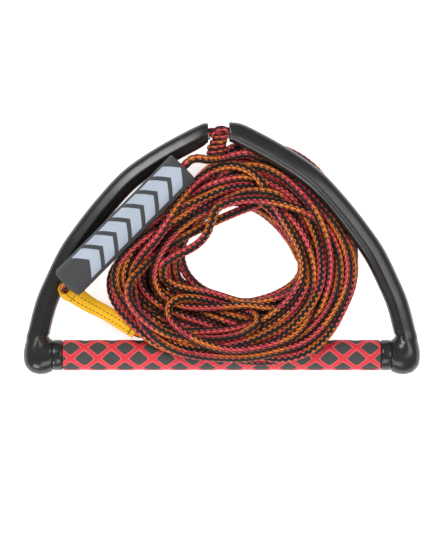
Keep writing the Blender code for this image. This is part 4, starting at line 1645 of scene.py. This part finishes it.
@dataclass
class ApexKnot:
    """The wraps that tie the tow rope to the bridle, and the strand that crosses over it."""

    finish: bpy.types.Material
    hitch: Route = (
        (-0.0090, 0.2085, 0.0415), (-0.0070, 0.2125, 0.0445), (-0.0025, 0.2155, 0.0462),
        (0.0030, 0.2150, 0.0455), (0.0052, 0.2110, 0.0435),
    )
    middle: Route = (
        (-0.0012, 0.2098, 0.0392), (-0.0028, 0.2040, 0.0395), (-0.0052, 0.1985, 0.0400),
        (-0.0062, 0.1940, 0.0400), (-0.0060, 0.1895, 0.0400),
    )
    radii: tuple[float, ...] = (0.0072, 0.0080, 0.0089, 0.0090, 0.0076)
    wraps: float = 4.1
    half_thickness: float = 0.0027
    half_width: float = 0.0029
    tilt: float = 0.0022

    def build(self) -> bpy.types.Object:
        """Makes the knot.

        Returns:
            The knot's piece.
        """
        share = np.linspace(0, 1, 220)
        axis = smooth_line(self.middle, 0.0002)
        centre = axis[np.round(share * (len(axis) - 1)).astype(int)]
        size = np.interp(share, np.linspace(0, 1, len(self.radii)), self.radii) - self.half_thickness
        angle = TURN * self.wraps * share + 0.4
        coil = centre + size[:, None] * np.stack([np.cos(angle), 0 * angle, np.sin(angle)], axis=1)
        coil[:, 1] -= self.tilt * np.sin(angle)
        hitch = smooth_line(self.hitch, 0.0010)
        line = respaced(smooth_line(respaced(np.vstack([hitch, coil[4:]]), 0.0022), 0.0009), 0.0009)
        forward = headings(line)
        out = line - np.array([-0.0045, 0.0, 0.0400])
        out[:, 1] = 0
        out = unit(out - forward * np.sum(out * forward, axis=1)[:, None])
        beside = np.cross(forward, out)
        turn = np.arange(16) * TURN / 16
        rings = ring_points(
            line, beside, out, np.broadcast_to(self.half_width * np.cos(turn), (len(line), 16)),
            np.broadcast_to(self.half_thickness * np.sin(turn), (len(line), 16)),
        )
        mesh = RingMesh(rings, around=turn / TURN, along=distance_along(line)).build("apex_wraps")
        knot = link(mesh, "handle", self.finish)
        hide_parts("apex_knot")
        return knot


# ------------------------------------------------------------------------------
# The boat end of the rope
# ------------------------------------------------------------------------------


@dataclass
class KeeperFloat:
    """The foam float that is threaded on the rope."""

    finish: FloatFinish = field(default_factory=FloatFinish)
    lower_rim: tuple[tuple[float, float], ...] = (
        (0.0000, 0.0090), (0.0000, 0.0130), (0.0004, 0.0144), (0.0014, 0.0156), (0.0030, 0.0161),
        (0.0050, 0.0162),
    )
    upper_rim: tuple[tuple[float, float], ...] = (
        (0.0020, 0.0162), (0.0007, 0.0160), (0.0001, 0.0153), (0.0000, 0.0110), (0.0000, 0.0050),
    )
    bores: tuple[tuple[float, float], ...] = ((0.0323, 0.0050), (0.0323, 0.0066), (0.0000, 0.0066))
    sides: int = 96
    step: float = 0.004

    def build(self) -> bpy.types.Object:
        """Makes the float.

        Returns:
            The float's piece.
        """
        length = float(np.linalg.norm(FLOAT_HIGH - FLOAT_LOW))
        middle = [(along, FLOAT_RADIUS) for along in np.arange(0.008, length - 0.004, self.step)]
        upper = [(length - short, size) for short, size in self.upper_rim]
        outline = [*self.lower_rim, *middle, *upper, *self.bores]
        shape = turned(FLOAT_LOW, FLOAT_AXIS, outline, self.sides, math.pi)
        keeper = link(shape.build("foam_float"), "float", self.finish.make())
        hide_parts("keeper_float")
        return keeper


@dataclass
class LoopCover:
    """The webbing sleeve over the upper part of the boat loop, wider at its throat."""

    route: Route
    finish: WebbingFinish = field(default_factory=WebbingFinish)
    half_widths: tuple[float, ...] = (0.0057, 0.0092, 0.0087, 0.0073, 0.0064)
    half_height: float = 0.0061
    bore: float = 0.0052
    sides: int = 64
    step: float = 0.0010

    def build(self) -> bpy.types.Object:
        """Makes the cover.

        Returns:
            The cover's piece.
        """
        line = smooth_line(self.route, self.step)
        side, up = level_frames(line)
        along = distance_along(line)
        length = float(along[-1])
        angle = np.arange(self.sides) * TURN / self.sides
        wide = np.interp(along / length, (0, 0.09, 0.22, 0.48, 1), self.half_widths)
        seam = 1 - 0.05 * np.exp(-(((along - COVER_SEAM) / 0.0011) ** 2))
        hem = 1 + 0.05 * (along > length - COVER_HEM)
        slack = 1 + 0.035 * np.sin(along * 210)[:, None] * np.cos(3 * angle)[None, :]
        box = (np.abs(np.cos(angle)) ** 2.6 + np.abs(np.sin(angle)) ** 2.6) ** (-1 / 2.6)
        across = (wide * seam * hem)[:, None] * box * np.cos(angle) * slack
        high = (self.half_height * seam * hem)[:, None] * box * np.sin(angle) * slack
        outside = ring_points(line, side, up, across, high)
        middle = line[::-3]
        inner = ring_points(
            middle, side[::-3], up[::-3],
            np.broadcast_to(self.bore * np.cos(angle), (len(middle), self.sides)),
            np.broadcast_to(self.bore * np.sin(angle), (len(middle), self.sides)),
        )
        rings = np.vstack([outside, inner])
        station = np.concatenate([along, along[::-3]])
        mesh = RingMesh(rings, closed=True, around=angle / TURN, along=station).build("webbing_cover")
        cover = link(mesh, "handle", self.finish.make(length))
        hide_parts("loop_cover")
        return cover


@dataclass
class HiddenParts:
    """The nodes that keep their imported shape: the bar, its plugs, the foams and the hoses."""

    finishes: dict[str, PlainFinish] = field(
        default_factory=lambda: {
            "bar_tube": PlainFinish("bare_alloy", (0.74, 0.75, 0.76), 0.30, 1.0, 1400.0, 0.00004),
            "bar_plug": PlainFinish("plug_foam", (0.70, 0.70, 0.66), 0.90, 0.0, 1700.0, 0.00020),
            "arm_foam": PlainFinish("arm_foam", (0.72, 0.71, 0.66), 0.90, 0.0, 1500.0, 0.00020),
            "arm_hose": PlainFinish("clear_hose", (0.50, 0.54, 0.52), 0.30, 0.0, 120.0, 0.00005),
        }
    )
    padded: tuple[str, ...] = ("bar_plug", "arm_foam")

    def build(self) -> None:
        """Gives every one its finish."""
        for stem, finish in self.finishes.items():
            material = finish.make()
            for piece in [o for o in bpy.data.objects if o.type == "MESH" and o.name.startswith(stem)]:
                piece.data.materials.clear()
                piece.data.materials.append(material)
                LOG.info("finish of %s", piece.name)


# ------------------------------------------------------------------------------
# The studio
# ------------------------------------------------------------------------------


@dataclass
class Studio:
    """Pale floor, soft light and the camera over the handle."""

    camera_place: tuple[float, float, float] = (-0.0003, -0.0266, 1.600)
    lens: float = 106.8
    floor_size: float = 6.0
    floor_colour: Colour = (0.94, 0.94, 0.94)

    def build(self) -> None:
        """Makes the camera, the floor, the lights and the world."""
        self._camera()
        self._floor()
        self._lamp("key_light", (-0.9, 0.9, 1.5), 0.7, 15.0)
        self._lamp("fill_light", (1.1, 0.2, 1.6), 1.0, 11.0)
        self._lamp("front_light", (0.0, -1.3, 1.2), 0.8, 7.0)
        self._lamp("low_light", (-0.75, -1.2, 0.62), 0.45, 5.0)
        world = bpy.data.worlds.new("studio")
        world.use_nodes = True
        shell = world.node_tree.nodes["Background"]
        shell.inputs["Color"].default_value = (1.0, 1.0, 1.0, 1.0)
        shell.inputs["Strength"].default_value = 0.32
        bpy.context.scene.world = world
        bpy.context.scene.view_settings.view_transform = "Standard"

    def _camera(self) -> None:
        """Looks straight down on the handle."""
        data = bpy.data.cameras.new("camera")
        data.lens = self.lens
        data.sensor_width = 36.0
        camera = bpy.data.objects.new("camera", data)
        camera.location = self.camera_place
        bpy.context.scene.collection.objects.link(camera)
        bpy.context.scene.camera = camera

    def _floor(self) -> None:
        """A pale plain floor."""
        half = self.floor_size / 2
        mesh = bpy.data.meshes.new("floor")
        corners = [(-half, -half, 0), (half, -half, 0), (half, half, 0), (-half, half, 0)]
        mesh.from_pydata(corners, [], [(0, 1, 2, 3)])
        paint = Paint("floor_paper")
        white = (1.0, 1.0, 1.0)
        paper = paint.finish(
            Base_Color=self.floor_colour, Roughness=0.9, Emission_Color=white, Emission_Strength=0.72
        )
        mesh.materials.append(paper)
        floor = bpy.data.objects.new("floor", mesh)
        floor.location.z = -0.0002
        bpy.context.scene.collection.objects.link(floor)

    def _lamp(self, name: str, place: Sequence[float], size: float, power: float) -> None:
        """A soft square lamp that looks at the handle."""
        data = bpy.data.lights.new(name, "AREA")
        data.size = size
        data.energy = power
        lamp = bpy.data.objects.new(name, data)
        lamp.location = place
        lamp.rotation_euler = (-Vector(place)).to_track_quat("-Z", "Y").to_euler()
        bpy.context.scene.collection.objects.link(lamp)


def main() -> None:
    """Builds everything in order and keeps the sizes."""
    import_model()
    Studio().build()
    rope = TowRope()
    piece = rope.build()
    braid = piece.data.materials[0]
    knot = ApexKnot(braid).build()
    LOG.info("built %s", knot.name)
    keeper = KeeperFloat().build()
    LOG.info("built %s", keeper.name)
    cover = LoopCover((*rope.routes.throat, *rope.routes.upper[1:])).build()
    LOG.info("built %s", cover.name)
    LOG.info("built %s", Bridle(braid).build().name)
    moulded = MouldedFinish().make()
    glossy = MouldedFinish("gloss_cuff", (0.022, 0.022, 0.022), 0.20).make()
    for side in Side:
        LOG.info("built %s", MouldedArm(side, moulded).build().name)
        LOG.info("built %s", Cuff(side, glossy).build().name)
    LOG.info("built %s", Grip().build().name)
    HiddenParts().build()


if __name__ == "__main__":
    logging.basicConfig(level=logging.INFO)
    main()
